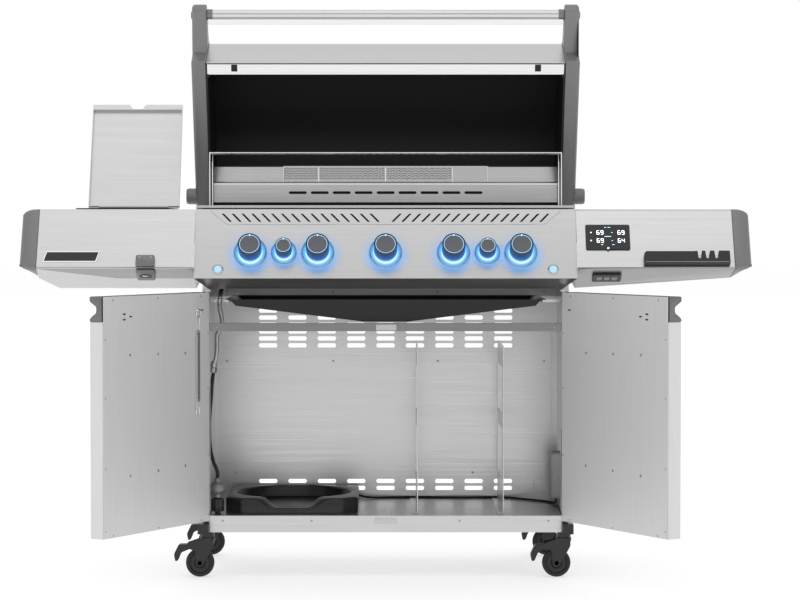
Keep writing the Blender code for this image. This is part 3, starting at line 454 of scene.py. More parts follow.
def sweep(path, section, up=(0.0, 0.0, 1.0), closed=False):
    """A section (x sideways, y towards up) carried along a path of points, square to it."""
    path = np.asarray(path, float)
    if closed:
        ahead, behind = np.roll(path, -1, 0), np.roll(path, 1, 0)
    else:
        ahead = np.concatenate([path[1:], path[-1:]])
        behind = np.concatenate([path[:1], path[:-1]])
    way = ahead - behind
    way /= np.linalg.norm(way, axis=1)[:, None]
    side = np.cross(way, np.array(up, float))
    side /= np.linalg.norm(side, axis=1)[:, None]
    top = np.cross(side, way)
    section = np.asarray(section, float)
    grid = (path[:, None] + section[None, :, :1] * side[:, None] + section[None, :, 1:] * top[:, None])
    return surface(grid, wrap_u=closed, wrap_v=True, cap=not closed)


def rod(start, end, radius, steps=16, bevel=0.0):
    """A round bar from start to end with cut ends."""
    start, end = np.array(start, float), np.array(end, float)
    long = np.linalg.norm(end - start)
    across = (1, 0, 0) if abs((end - start)[0]) < 0.9 * long else (0, 1, 0)
    cut = bevel or radius * 0.12
    profile = [(0, 0), (radius - cut, 0), (radius, cut), (radius, long - cut), (radius - cut, long), (0, long)]
    return lathe(profile, steps, stand(start, across, end - start))


def curve_through(knots, spacing):
    """A smooth (Catmull-Rom) line through knots, with a point about every spacing."""
    knots = np.asarray(knots, float)
    ends = np.concatenate([[2 * knots[0] - knots[1]], knots, [2 * knots[-1] - knots[-2]]])
    pieces = []
    for before, a, b, after in zip(ends, ends[1:], ends[2:], ends[3:]):
        t = np.linspace(0, 1, max(1, round(np.linalg.norm(b - a) / spacing)), endpoint=False)[:, None]
        pieces.append(0.5 * (2 * a + (b - before) * t + (2 * before - 5 * a + 4 * b - after) * t ** 2
                             + (3 * a - before - 3 * b + after) * t ** 3))
    pieces.append(knots[-1:])
    return np.concatenate(pieces)


def piece(name, shape, material, body, stands_for=(), smooth=35):
    """Makes the object, closes its seams and poles, points its faces outwards and hangs it on its body."""
    points, faces = shape
    mesh = bpy.data.meshes.new(name)
    mesh.from_pydata((points + TO_FRAME).tolist(), [], faces)
    tidy = bmesh.new()
    tidy.from_mesh(mesh)
    bmesh.ops.remove_doubles(tidy, verts=tidy.verts, dist=1e-6)
    bmesh.ops.dissolve_degenerate(tidy, edges=tidy.edges, dist=1e-7)
    bmesh.ops.recalc_face_normals(tidy, faces=tidy.faces)
    tidy.to_mesh(mesh)
    tidy.free()
    mesh.materials.append(material)
    mesh.shade_smooth()
    mesh.set_sharp_from_angle(angle=math.radians(smooth))
    made = bpy.data.objects.new(name, mesh)
    bpy.context.scene.collection.objects.link(made)
    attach(made, body)
    if stands_for:
        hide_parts(*([stands_for] if isinstance(stands_for, str) else stands_for))
    return made


def dress(material, *nodes):
    """Gives CAD nodes their finish."""
    for name in nodes:
        made = frame["nodes"][name]
        made.data.materials.clear()
        made.data.materials.append(material)


# ---- places on the slanted fascias ----
def fascia(x, z, foot, proud=0.0, top=0.994, top_y=0.086):
    """The matrix of a spot on a slanted face: X across, Y up the slope, Z outwards."""
    up = np.array((0.0, top_y, top - foot))
    up /= np.linalg.norm(up)
    out = np.array((0.0, -up[2], up[1]))
    return stand(np.array((x, (z - foot) / (top - foot) * top_y, z)) + out * proud, (1, 0, 0), out)


def on_panel(x, z, proud=0.0):
    return fascia(x, z, 0.809, proud)


def on_shelf(x, z, proud=0.0):
    return fascia(x, z, 0.836, proud)


LID_TURN = turn_about(LID_PIVOT, (1, 0, 0), -LID_OPEN)


def on_lid(shape):
    """A shape made with the lid shut, carried up with it."""
    return moved(shape, LID_TURN)


set_camera()
set_stage()

# ---- cords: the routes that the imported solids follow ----
def cord(name, knots, radius, material, body, stands_for, slot, section=12, **facts):
    """A round tube carried along a smooth line through knots; its own line is what it is measured by."""
    path = curve_through(knots, 0.004)
    made = piece(name, sweep(path, circle(radius, section), CORD_UP[name]), material, body, stands_for, 60)
    path += TO_FRAME
    return made


CORD_UP = {"gas_hose_run": (0.0, 1.0, 0.0), "power_lead_run": (0.02, 0.03, 1.0)}
GAS_Y = 0.110
HOSE_KNOTS = [(x, GAS_Y, z) for x, z in (
    (-0.468, 0.549), (-0.4701, 0.535), (-0.4725, 0.515), (-0.474, 0.485), (-0.477, 0.450), (-0.479, 0.415),
    (-0.479, 0.380), (-0.477, 0.350), (-0.473, 0.325), (-0.467, 0.304), (-0.460, 0.288), (-0.457, 0.275),
    (-0.457, 0.263))]
LEAD_Z = 0.1693
LEAD_KNOTS = [
    (0.478, 0.330, 0.1855), (0.478, 0.330, 0.1800), (0.477, 0.335, 0.1738), (0.473, 0.350, 0.1697),
    (0.464, 0.372, LEAD_Z), (0.450, 0.395, LEAD_Z), (0.430, 0.418, LEAD_Z), (0.405, 0.442, LEAD_Z),
    (0.372, 0.472, LEAD_Z), (0.338, 0.4935, LEAD_Z), (0.305, 0.4995, LEAD_Z), (0.255, 0.4945, LEAD_Z),
    (0.210, 0.4925, LEAD_Z), (0.165, 0.4985, LEAD_Z), (0.125, 0.5045, LEAD_Z), (0.085, 0.5049, LEAD_Z),
    (0.045, 0.500, LEAD_Z), (0.005, 0.493, LEAD_Z), (-0.030, 0.487, 0.1695), (-0.058, 0.484, 0.1720),
    (-0.080, 0.485, 0.1778), (-0.094, 0.489, 0.1830), (-0.099, 0.496, 0.1855), (-0.100, 0.503, 0.1860),
    (-0.100, 0.511, 0.1860)]
cord("gas_hose_run", HOSE_KNOTS, 0.005, RUBBER, "cart", "gas_hose", "black_rubber",
     far_end="connector", stiffness="medium", lay="hanging", with_pieces=[frame["nodes"]["regulator"]])
cord("power_lead_run", LEAD_KNOTS, 0.003, RUBBER, "cart", "power_lead", "black_rubber", section=10,
     far_end="object", stiffness="limp", lay="loose")

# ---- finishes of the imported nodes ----
dress(STEEL, "back_panel", "left_side_panel", "right_side_panel", "centre_divider",
      "right_divider", "rear_burner", "burner_set", "control_panel", "left_shelf", "right_shelf",
      "side_burner_lid", "warming_rack", "lid_shell", "lid_handle", "left_grid", "middle_grid",
      "right_grid")
dress(DOOR_STEEL, "left_door", "right_door")
dress(DARK_STEEL, "front_rail")
dress(CASTING, "left_shelf_cap", "right_shelf_cap", "lid_left_casting", "lid_right_casting", "tool_rail")
dress(STEEL, "base_tray")
dress(ENAMEL, "caster_frame", "tank_tray", "side_burner")
dress(LINER, "firebox", "drip_tray")
dress(PLASTIC, "left_door_handle", "right_door_handle")
for corner in ("front_left", "front_right", "rear_left", "rear_right"):
    dress(PLASTIC, corner + "_caster_fork", corner + "_caster_pedal")
    dress(RUBBER, corner + "_caster_wheel")
for number in range(1, 6):
    dress(KNOB_GREY, f"burner_knob_{number}")
dress(KNOB_GREY, "side_burner_knob", "rear_burner_knob")
dress(BLUE, "left_lamp_button", "right_lamp_button")
dress(GLASS, "display_module")
dress(BRAID, "flex_connector")
dress(PLASTIC, "regulator", "gas_hose", "power_lead")
dress(WHITE, "power_supply")


# ---- lid ----
LID_LINE = np.array([
    (0.059, 1.009), (0.061, 1.100), (0.070, 1.180), (0.100, 1.228), (0.145, 1.258), (0.200, 1.275),
    (0.300, 1.285), (0.400, 1.283), (0.490, 1.255), (0.560, 1.200), (0.598, 1.140), (0.610, 1.080),
    (0.610, 1.010)])
HORN = [(0.050, 1.062), (-0.030, 1.090), (-0.062, 1.098), (-0.068, 1.126), (-0.040, 1.138), (0.040, 1.158)]
LID_HALF = 0.498
HANDLE_Y, HANDLE_Z = -0.042, 1.115
CASTING_OUT = 0.540


def smooth_line(points, spacing=0.006):
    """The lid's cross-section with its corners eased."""
    flat = np.column_stack([points, np.zeros(len(points))])
    return curve_through(flat, spacing)[:, :2]


def beside(line, distance):
    """An open line moved to its left by distance, each point square to the line."""
    ahead = np.concatenate([line[1:], line[-1:]]) - np.concatenate([line[:1], line[:-1]])
    ahead /= np.linalg.norm(ahead, axis=1)[:, None]
    return line + np.stack([-ahead[:, 1], ahead[:, 0]], 1) * distance


def strip(line, thick, x_low, x_high, bevel=0.0004):
    """A bent sheet: an open line in Y, Z given a thickness to its left and carried along X."""
    return slab(np.concatenate([line, beside(line, thick)[::-1]]), x_low, x_high, bevel, "X")


def build_lid():
    """Steel skin, black liner with folded ribs, cast ends with horns, and a tube handle between them."""
    line = smooth_line(LID_LINE)
    inner = beside(line, -0.0025)
    piece("lid_skin", on_lid(strip(line, -0.0022, -LID_HALF, LID_HALF)), STEEL, "lid", "lid_shell")
    liner = [strip(inner, -0.0030, -LID_HALF + 0.0004, LID_HALF - 0.0004)]
    edge = inset(counterclockwise(line), 0.002)
    for way in (-1, 1):
        xs = sorted((way * (LID_HALF - 0.0035), way * (LID_HALF - 0.0005)))
        liner.append(slab(edge, *xs, 0.0004, "X"))
    piece("lid_liner", on_lid(joined(*liner)), LINER, "lid")
    folds = []
    for place, tall, deep in (((0.075, 1.075), 0.010, 0.010), ((0.085, 1.135), 0.012, 0.010)):
        y, z = place
        folds.append(block((-0.492, 0.492), (y - 0.008, y - 0.008 + deep), (z, z + tall), 0.002))
    piece("lid_liner_folds", on_lid(joined(*folds)), LINER, "lid")
    seam = block((-0.4925, 0.4925), (0.0700, 0.0725), (1.0995, 1.1030), 0.0008)
    piece("lid_liner_bright_edge", on_lid(seam), DARK_STEEL, "lid")
    lip = [(0.0615, 1.0100), (0.0950, 1.0100), (0.0958, 1.0205), (0.0935, 1.0210), (0.0925, 1.0125),
           (0.0650, 1.0125), (0.0615, 1.0135)]
    piece("lid_lip", on_lid(slab(np.array(lip), -0.4955, 0.4955, 0.0003, "X")), BRIGHT, "lid")
    pads = [block((x - 0.0085, x + 0.0085), (0.066, 0.086), (1.0082, 1.0120), 0.001) for x in (-0.420, 0.423)]
    piece("lid_lip_pads", on_lid(joined(*pads)), RUBBER, "lid")
    studs = []
    for x, radius in ((-0.026, 0.0035), (0.0, 0.0045), (0.023, 0.0035)):
        studs.append(rod((x, 0.066, 1.048), (x, 0.090, 1.048), radius, 14))
        studs.append(rod((x, 0.066, 1.048), (x, 0.071, 1.048), radius * 2.0, 14))
    piece("lid_thermometer_studs", on_lid(joined(*studs)), BRIGHT, "lid")

    horn = smooth_line(np.array(HORN), 0.004)
    proud = beside(line, 0.004)
    start, end = 2, int(np.argmin(np.abs(proud[:, 1] - 1.172) + (proud[:, 0] > 0.2)))
    outline = np.concatenate([proud[:start], horn, proud[end:]])
    pocket = inset(counterclockwise(outline), 0.016)
    for way, node in ((-1, "lid_left_casting"), (1, "lid_right_casting")):
        rim = counterclockwise(outline)
        inner_x, outer_x = LID_HALF + 0.0006, CASTING_OUT - 0.0006
        rings = [(inset(rim, 0.003), inner_x), (rim, inner_x + 0.002), (rim, outer_x - 0.007),
                 (inset(rim, 0.002), outer_x - 0.003), (inset(rim, 0.007), outer_x),
                 (pocket, outer_x), (inset(pocket, 0.003), outer_x - 0.003)]
        grid = np.stack([np.column_stack([ring, np.full(len(ring), x)]) for ring, x in rings])
        side = moved(surface(grid, wrap_v=True, cap=True), ALONG["X"])
        boss = lathe([(0, 0.030), (0.0195, 0.030), (0.0215, 0.028), (0.0228, 0.022), (0.0228, -0.002),
                      (0, -0.002)], 40,
                     stand((CASTING_OUT - 0.003, LID_PIVOT[1], LID_PIVOT[2]), (0, 1, 0), (1, 0, 0)))
        made = joined(side, boss)
        piece(node + "_shell", on_lid(made if way > 0 else mirrored(made)), CASTING, "lid", node, smooth=50)
        cap = lathe([(0, 0.0045), (0.009, 0.0040), (0.0115, 0.0015), (0.0115, 0), (0, 0)], 32,
                    stand((CASTING_OUT - 0.0012, -0.040, 1.116), (0, 1, 0), (1, 0, 0)))
        piece(node + "_horn_cap", on_lid(cap if way > 0 else mirrored(cap)), CASTING, "lid")
        stop = block((LID_HALF - 0.008, LID_HALF + 0.010), (0.092, 0.106), (1.0098, 1.0190), 0.002)
        piece(node + "_stop", on_lid(stop if way > 0 else mirrored(stop)), RUBBER, "lid")

    ends = [(-LID_HALF - 0.0002, HANDLE_Y, HANDLE_Z), (LID_HALF + 0.0002, HANDLE_Y, HANDLE_Z)]
    tube = rod(*ends, 0.0139, 40, 0.0004)
    collars = [rod((way * (LID_HALF - 0.016), HANDLE_Y, HANDLE_Z), (way * LID_HALF, HANDLE_Y, HANDLE_Z),
                   0.0152, 40, 0.001) for way in (-1, 1)]
    piece("lid_handle_tube", on_lid(tube), HANDLE_STEEL, "lid", "lid_handle")
    piece("lid_handle_collars", on_lid(joined(*collars)), CASTING, "lid")
    spine = [(-0.034, 1.1110), (-0.034, 1.0995), (-0.0175, 1.0985), (-0.0172, 1.1005), (-0.031, 1.1025),
             (-0.031, 1.1110)]
    piece("lid_handle_spine", on_lid(slab(np.array(spine), -LID_HALF + 0.003, LID_HALF - 0.003, 0.0003, "X")),
          BRIGHT, "lid")


# ---- control knobs ----
def write_painted_light(made, values):
    """Stores on each point how strongly its painted light shines, from 0 to 1."""
    made.data.attributes.new("glow", "FLOAT", "POINT").data.foreach_set("value", values.astype(np.float32))


def points_of(made):
    points = np.empty(len(made.data.vertices) * 3)
    made.data.vertices.foreach_get("co", points)
    return points.reshape(-1, 3) - TO_FRAME


def knob(name, x, radius, tall):
    """A drum grip with a recessed grey face, a hair-thin lit ring, fine ribs and painted blue light climbing its
    foot.
    """
    place = on_panel(x, KNOB_Z, 0.0006)
    steps = 96
    face = radius * 0.80
    disc = [(0.0, tall - 0.0024), (face * 0.90, tall - 0.0024), (face, tall - 0.0018)]
    piece(name + "_face", lathe(disc, steps, place), KNOB_GREY, name, name)
    ring = [(face, tall - 0.0018), (face + 0.0002, tall - 0.0010), (face + 0.0011, tall - 0.0010),
            (face + 0.0013, tall - 0.0014)]
    piece(name + "_lit_ring", lathe(ring, steps, place), RING_BLUE, name)
    outer = [(face + 0.0013, tall - 0.0014), (radius * 0.935, tall - 0.0002), (radius * 0.975, tall - 0.0012),
             (radius * 0.990, tall - 0.0040), (radius * 0.985, tall * 0.75), (radius * 0.965, tall * 0.55),
             (radius * 0.950, tall * 0.42), (radius * 0.985, tall * 0.36), (radius * 0.985, tall * 0.28),
             (radius * 0.930, tall * 0.24), (radius * 0.925, tall * 0.04), (0.0, 0.0)]

    def ribs(_, h, a):
        """Thirty-two shallow grooves between the knob's foot and its rim."""
        return np.where((h > tall * 0.40) & (h < tall - 0.003), 0.0006, 0.0) * (0.5 + 0.5 * np.cos(32 * a))

    made = piece(name + "_grip", lathe(outer, steps, place, ribs), KNOB_SIDE_PAINTED_LIGHT, name)
    height = (points_of(made) - place[:3, 3]) @ place[:3, 2]
    # Painted light: the grip shines more towards its foot, where light from below falls on it.
    write_painted_light(made, np.clip(1.0 - height / (tall * 0.62), 0, 1) ** 1.3)
    pointer = slab(rounded(0.0016, face * 0.16, 0.0007, 3), tall - 0.0016, tall - 0.0008, 0.0002)
    piece(name + "_pointer", moved(shifted(pointer, 0, face, 0), place), WHITE_LIGHT, name)


def spread_from(made, place):
    """Each point's distance from the knob's axis, and how far below it the point lies, from -1 to 1."""
    local = points_of(made) - place[:3, 3]
    far = np.linalg.norm(local - np.outer(local @ place[:3, 2], place[:3, 2]), axis=1)
    return far, -(local @ place[:3, 1]) / np.maximum(far, 1e-6)


def bezel(name, x, radius, inner):
    """A dished collar that stands off the panel, with painted white and blue light near the knob, stronger on its
    lower side, and bright steel at its rim.
    """
    place = on_panel(x, KNOB_Z)
    profile = [(inner, 0.0004), (inner, 0.0034), (inner + 0.0030, 0.0044), (radius * 0.86, 0.0060),
               (radius * 0.92, 0.0078), (radius * 0.955, 0.0082), (radius * 0.985, 0.0066), (radius, 0.0040),
               (radius, 0.0010), (radius * 0.94, 0.0004)]
    dense = curve_through(np.column_stack([profile, np.zeros(len(profile))]), 0.0012)[:, :2]
    made = piece(name + "_bezel", lathe(dense, 96, place), BEZEL_PAINTED_LIGHT, "cart")
    far, down = spread_from(made, place)
    # Painted light: brightest at the inner edge, and stronger on the bezel's lower side.
    write_painted_light(made, np.clip((radius * 0.97 - far) / (radius * 0.97 - inner), 0, 1) ** 1.1 * (0.72 + 0.28 * down))
    # Painted light on the panel round the bezel, stronger below it.
    reach = radius * 1.75
    rings = np.linspace(radius * 0.92, reach, 16)
    halo = piece(name + "_halo", lathe([(r, 0.00035) for r in rings], 96, place), HALO, "cart")
    far, down = spread_from(halo, place)
    write_painted_light(halo, np.clip((reach - far) / (reach - radius * 0.95), 0, 1) ** 2.0 * (0.42 + 0.30 * down))


def build_controls():
    for number, x in enumerate(KNOB_X):
        knob(f"burner_knob_{number + 1}", x, 0.0318, 0.0575)
        bezel(f"burner_knob_{number + 1}", x, 0.0445, 0.0302)
    for name, x in (("side_burner_knob", SMALL_KNOB_X[0]), ("rear_burner_knob", SMALL_KNOB_X[1])):
        knob(name, x, 0.0228, 0.0495)
        bezel(name, x, 0.0345, 0.0216)
    for name, x in (("left_lamp_button", -LAMP_X), ("right_lamp_button", LAMP_X)):
        place = on_panel(x, LAMP_Z)
        button = [(0, 0.0044), (0.0060, 0.0043), (0.0066, 0.0036), (0.0100, 0.0030), (0.0108, 0.0018),
                  (0.0108, -0.0075), (0, -0.0075)]
        piece(name + "_cap", lathe(button, 40, place), LAMP_BLUE, name, name)
        ring = [(0.0120, 0.0002), (0.0122, 0.0020), (0.0132, 0.0024), (0.0148, 0.0014), (0.0150, 0.0002)]
        piece(name + "_ring", lathe(ring, 40, place), BEZEL_STEEL, "cart")


KNOB_Z = 0.8776
LAMP_Z = 0.833
KNOB_X = (-0.363, -0.182, 0.0, 0.182, 0.363)
SMALL_KNOB_X = (-0.273, 0.273)
LAMP_X = 0.449
build_lid()
build_controls()


# ---- firebox: burners, grids, rear burner and warming rack ----
BOX_FRONT = 0.090
BOX_HALF = 0.4897
GRID_Z = 0.985


def slotted(outline, holes, low, high, axis="Z"):
    """A flat plate with holes: outline and holes filled as one face, then given a thickness along an axis.

    A straight-edged fill joins every loop, so the plate is one closed sheet.
    """
    shape = bmesh.new()
    loops = [np.asarray(line, float) for line in (outline, *holes)]
    edges = []
    for line in loops:
        corners = [shape.verts.new((u, v, low)) for u, v in line]
        edges += [shape.edges.new((corners[n - 1], corners[n])) for n in range(len(corners))]
    filled = bmesh.ops.triangle_fill(shape, edges=edges, use_beauty=True)
    faces = [part for part in filled["geom"] if isinstance(part, bmesh.types.BMFace)]
    shape.verts.index_update()
    points = np.array([vert.co for vert in shape.verts])
    flat = [[vert.index for vert in face.verts] for face in faces]
    shape.free()
    count = len(points)
    top = points.copy()
    top[:, 2] = high
    walls, start = [], 0
    for line in loops:
        size = len(line)
        around = np.arange(size) + start
        ahead = np.roll(around, -1)
        walls += np.stack([around, ahead, ahead + count, around + count], 1).tolist()
        start += size
    faces = flat + [[corner + count for corner in face][::-1] for face in flat] + walls
    return moved((np.concatenate([points, top]), faces), ALONG[axis])


def long_hole(u, v, long, tall, steps=5):
    """The outline of a slot with round ends, centred at (u, v)."""
    return rounded(long, tall, min(long, tall) * 0.499, steps) + (u, v)


def build_rear_burner():
    """A folded steel front with three panels of pierced chevrons over nine slots, and steel end plates."""
    face_y = 0.4663
    zigzag, slots = [], []
    for left in (-0.2865, -0.0955, 0.0955):
        for row in range(5):
            for column in range(23):
                x = left - 0.0880 + column * 0.0080
                z = 1.0835 + row * 0.0068
                way = 1 if column % 2 else -1
                zigzag.append(np.array([(x - 0.0035, z - way * 0.0016), (x - 0.0028, z - way * 0.0034),
                                        (x + 0.0035, z + way * 0.0002), (x + 0.0028, z + way * 0.0020)]))
    for n in range(9):
        slots.append(long_hole((n - 4) * 0.0625, 1.0425, 0.051, 0.0078))
    front = slotted(rounded(0.580, 0.052, 0.001, 2) + (0.0, 1.0925),
                    [counterclockwise(hole) for hole in zigzag], 0, 0.0012)
    low = slotted(rounded(2 * BOX_HALF, 0.050, 0.001, 2) + (0.0, 1.0400), slots, 0, 0.0012)
    stand_up = stand((0, 0.4800, 0), (1, 0, 0), (0, -1, 0))
    piece("rear_burner_screens", moved(front, stand_up), BEZEL_STEEL, "cart", "rear_burner")
    stand_low = stand((0, face_y + 0.0014, 0), (1, 0, 0), (0, -1, 0))
    piece("rear_burner_front", moved(low, stand_low), STEEL, "cart")
    fold = [(0.4665, 1.0650), (0.4668, 1.0690), (0.4700, 1.0715), (0.4795, 1.0735), (0.4795, 1.0745),
            (0.4690, 1.0725), (0.4655, 1.0695), (0.4655, 1.0650)]
    piece("rear_burner_fold", slab(np.array(fold), -BOX_HALF, BOX_HALF, 0.0002, "X"), BRIGHT, "cart")
    sides = [block((way * 0.2930, way * BOX_HALF), (0.4790, 0.4802), (1.0740, 1.1160), 0.0003) for way in (-1, 1)]
    piece("rear_burner_side_plates", joined(*sides), STEEL, "cart")
    behind = block((-BOX_HALF, BOX_HALF), (0.4840, 0.4895), (1.0140, 1.1180), 0.0004)
    piece("rear_burner_back", behind, LINER, "cart")
    frame_bars = [block((-0.292, 0.292), (0.4782, 0.4800), (z, z + 0.0022), 0.0004) for z in (1.0665, 1.1155)]
    frame_bars += [block((x - 0.0013, x + 0.0013), (0.4782, 0.4800), (1.0665, 1.1175), 0.0004)
                   for x in (-0.191, 0.0, 0.191, -0.2915, 0.2915)]
    piece("rear_burner_frame", joined(*frame_bars), BRIGHT, "cart")


def bars(ends, section):
    """Many straight bars as one shape: each pair of ends carries the same section."""
    made = []
    for start, end in ends:
        start, end = np.array(start, float), np.array(end, float)
        way = (end - start) / np.linalg.norm(end - start)
        up = (0, 0, 1) if abs(way[2]) < 0.9 else (1, 0, 0)
        made.append(sweep(np.stack([start, end]), section, up))
    return joined(*made)


def build_grids():
    """Three grids of round bars that wave along their length, on a rim with cast cross bars."""
    wide = 2 * (0.494 - 0.004 - 0.002) / 3
    y0, y1 = BOX_FRONT + 0.006, 0.462
    for number, name in enumerate(("left_grid", "middle_grid", "right_grid")):
        x0 = -1.5 * wide + number * wide + 0.0003
        x1 = x0 + wide - 0.0006
        z = GRID_Z + 0.0068
        run = np.linspace(0, 1, 41)
        shapes = []
        for column in range(14):
            x = x0 + 0.016 + column * (x1 - x0 - 0.032) / 13
            sway = 0.0032 * np.sin(run * 2 * math.pi * 4.5)
            path = np.stack([x + sway, y0 + 0.006 + run * (y1 - y0 - 0.012), z + 0 * run], 1)
            shapes.append(sweep(path, circle(0.0043, 10)))
        for y in (y0 + 0.004, (y0 + y1) / 2, y1 - 0.004):
            shapes.append(block((x0, x1), (y - 0.0038, y + 0.0038), (GRID_Z + 0.0002, GRID_Z + 0.0100), 0.001))
        for x in (x0 + 0.004, x1 - 0.004):
            shapes.append(block((x - 0.0038, x + 0.0038), (y0, y1), (GRID_Z + 0.0002, GRID_Z + 0.0110), 0.001))
        piece(name + "_bars", joined(*shapes), GRID_STEEL, name, name)


def build_warming_rack():
    """A rim of round wire with close cross wires, on four bent legs."""
    half, y0, y1, z = 0.4908, 0.3005, 0.4195, 1.1515
    ends = [((-half, y, z), (half, y, z)) for y in (y0 + 0.003, (y0 + y1) / 2, y1 - 0.003)]
    ends += [((way * (half - 0.003), y0, z), (way * (half - 0.003), y1, z)) for way in (-1, 1)]
    thick = bars(ends, circle(0.0024, 12))
    across = np.linspace(-half + 0.02, half - 0.02, 60)
    thin = bars([((x, y0 + 0.001, z + 0.001), (x, y1 - 0.001, z + 0.001)) for x in across], circle(0.0012, 6))
    legs = bars([((way * (half - 0.0015), y, 1.0055), (way * (half - 0.0015), y, 1.150))
                 for way in (-1, 1) for y in (y0 + 0.003, y1 - 0.003)], circle(0.0019, 10))
    piece("warming_rack_wires", joined(thick, thin, legs), BRIGHT, "warming_rack", "warming_rack")


def build_burners():
    """Five drilled tubes on a square manifold, and a folded heat shield above each."""
    tubes, shields = [], []
    for x in KNOB_X:
        tubes.append(rod((x, 0.121, 0.925), (x, 0.4695, 0.925), 0.0198, 28, 0.003))
        for y in np.linspace(0.150, 0.450, 26):
            for way in (-1, 1):
                side = (way * 0.94, 0, 0.34)
                spot_on = np.array((x, y, 0.925)) + np.array(side) * 0.0192
                tubes.append(rod(spot_on, spot_on + np.array(side) * 0.0010, 0.0012, 6))
    for x in np.arange(-4, 5) * 0.0907:
        roof = [(x - 0.029, 0.948), (x, 0.972), (x + 0.029, 0.948)]
        line = np.array(roof)
        outline = np.concatenate([line, (line + (0, 0.0012))[::-1]])
        shields.append(moved(slab(np.stack([outline[:, 0], outline[:, 1]], 1), 0.112, 0.462, 0.0003),
                             np.array([[1, 0, 0, 0], [0, 0, 1, 0], [0, 1, 0, 0], [0, 0, 0, 1.0]])))
    piece("burner_tubes", joined(*tubes), STEEL, "cart", "burner_set")
    manifold = block((-BOX_HALF, BOX_HALF), (0.110, 0.130), (0.915, 0.935), 0.002)
    piece("burner_manifold", manifold, DARK_STEEL, "cart")
    piece("heat_shields", joined(*shields), DARK_STEEL, "cart")


build_rear_burner()
build_grids()
build_warming_rack()
build_burners()


# ---- doors ----
HINGE_X = 0.482
HINGE_Y = 0.050
DOOR_LOW = 0.152
DOOR_HIGH = 0.771
DOOR_SHELF = 0.706
DOOR_INNER = 0.054
DOOR_OUTER = 0.010


def on_door(side, shape):
    """A shape made with the right door shut, for either side, swung open about its hinge."""
    if side < 0:
        shape = mirrored(shape)
    return moved(shape, turn_about((side * HINGE_X, HINGE_Y, 0), (0, 0, 1), side * DOOR_OPEN))


def build_door(name, side, screws, marks):
    """A brushed pan, a raised liner on its inner face, a moulded grip along its top and its fixings."""
    edge, free = 0.4900, 0.0082
    width, z0 = edge - free, DOOR_LOW + 0.0002

    def panel(xs, ys, zs, bevel=0.0015, radius=0.003):
        return block(xs, ys, zs, bevel, radius)

    shell = panel((free, edge), (DOOR_OUTER, DOOR_INNER - 0.0020), (z0, DOOR_SHELF), 0.0016, 0.004)
    piece(name + "_pan", on_door(side, shell), DOOR_STEEL, name, name)
    liner = slotted(rounded(width - 0.003, DOOR_HIGH - z0 - 0.002, 0.003, 4),
                    [rounded(0.0135, 0.0042, 0.0018, 3) + mark for mark in marks], 0, 0.0016)
    middle = ((free + edge) / 2, (DOOR_HIGH + z0) / 2)
    up = stand((middle[0], DOOR_INNER - 0.0017, middle[1]), (-1, 0, 0), (0, 1, 0))
    piece(name + "_liner", on_door(side, moved(liner, up)), DOOR_STEEL, name)
    flange = [panel((x0, x1), (DOOR_INNER - 0.0019, DOOR_INNER - 0.0002), zs, 0.0006)
              for x0, x1, zs in ((free + 0.0005, free + 0.0140, (z0 + 0.001, DOOR_SHELF)),
                                 (edge - 0.0140, edge - 0.0005, (z0 + 0.001, DOOR_SHELF)))]
    piece(name + "_flanges", on_door(side, joined(*flange)), STEEL, name)
    heads = []
    for u, v, radius in screws:
        at = (middle[0] - u, DOOR_INNER - 0.0004, middle[1] + v)
        heads.append(lathe([(0, 0.0006), (radius * 0.35, 0.0005), (radius * 0.8, 0.0008), (radius, 0.0002),
                            (radius, -0.001), (0, -0.001)], 14, stand(at, (1, 0, 0), (0, 1, 0))))
    piece(name + "_fixings", on_door(side, joined(*heads)), SCREW_STEEL, name)
    low, back = DOOR_SHELF + 0.0004, DOOR_INNER - 0.0066
    grip = [(back, low)]
    grip += [(DOOR_OUTER + y, low + z) for y, z in (
        (0.002, 0.0), (0.0, 0.002), (0.0005, 0.007), (0.008, 0.014), (0.0195, 0.022), (0.0210, 0.030),
        (0.0195, 0.0385), (0.009, 0.0455), (0.001, 0.051), (0.0, 0.054))]
    grip += [(DOOR_OUTER, DOOR_HIGH - 0.0025), (DOOR_OUTER + 0.0025, DOOR_HIGH - 0.0002),
             (back, DOOR_HIGH - 0.0002)]
    made = slab(np.array(grip), free + 0.0004, edge - 0.0004, 0.0008, "X")
    piece(name + "_grip", on_door(side, made), GRIP, name, name + "_handle", smooth=50)
    pins = [rod((HINGE_X, HINGE_Y, z), (HINGE_X, HINGE_Y, z + tall), 0.0046, 16)
            for z, tall in ((DOOR_LOW + 0.0003, 0.003), (DOOR_HIGH - 0.004, 0.0038))]
    piece(name + "_hinge_bushes", on_door(side, joined(*pins)), BRIGHT, name)


def door_places():
    """Screw heads and slots of a door's inner face, from its middle: u towards the free edge, v up."""
    row = [(-0.125, 0.150), (0.0, 0.153), (0.125, 0.156), (-0.125, -0.150), (0.0, -0.153), (0.125, -0.156)]
    screws = [(u, v, 0.0040) for u, v in row]
    screws += [(u, v, 0.0026) for u in (-0.233, 0.233) for v in (-0.290, -0.130, 0.050, 0.200)]
    screws += [(u, v, 0.0030) for u in (-0.200, 0.0, 0.200) for v in (-0.303, 0.299)]
    marks = [(0.150, 0.262), (0.150, 0.248), (0.122, 0.255), (-0.205, 0.262)]
    return screws, marks


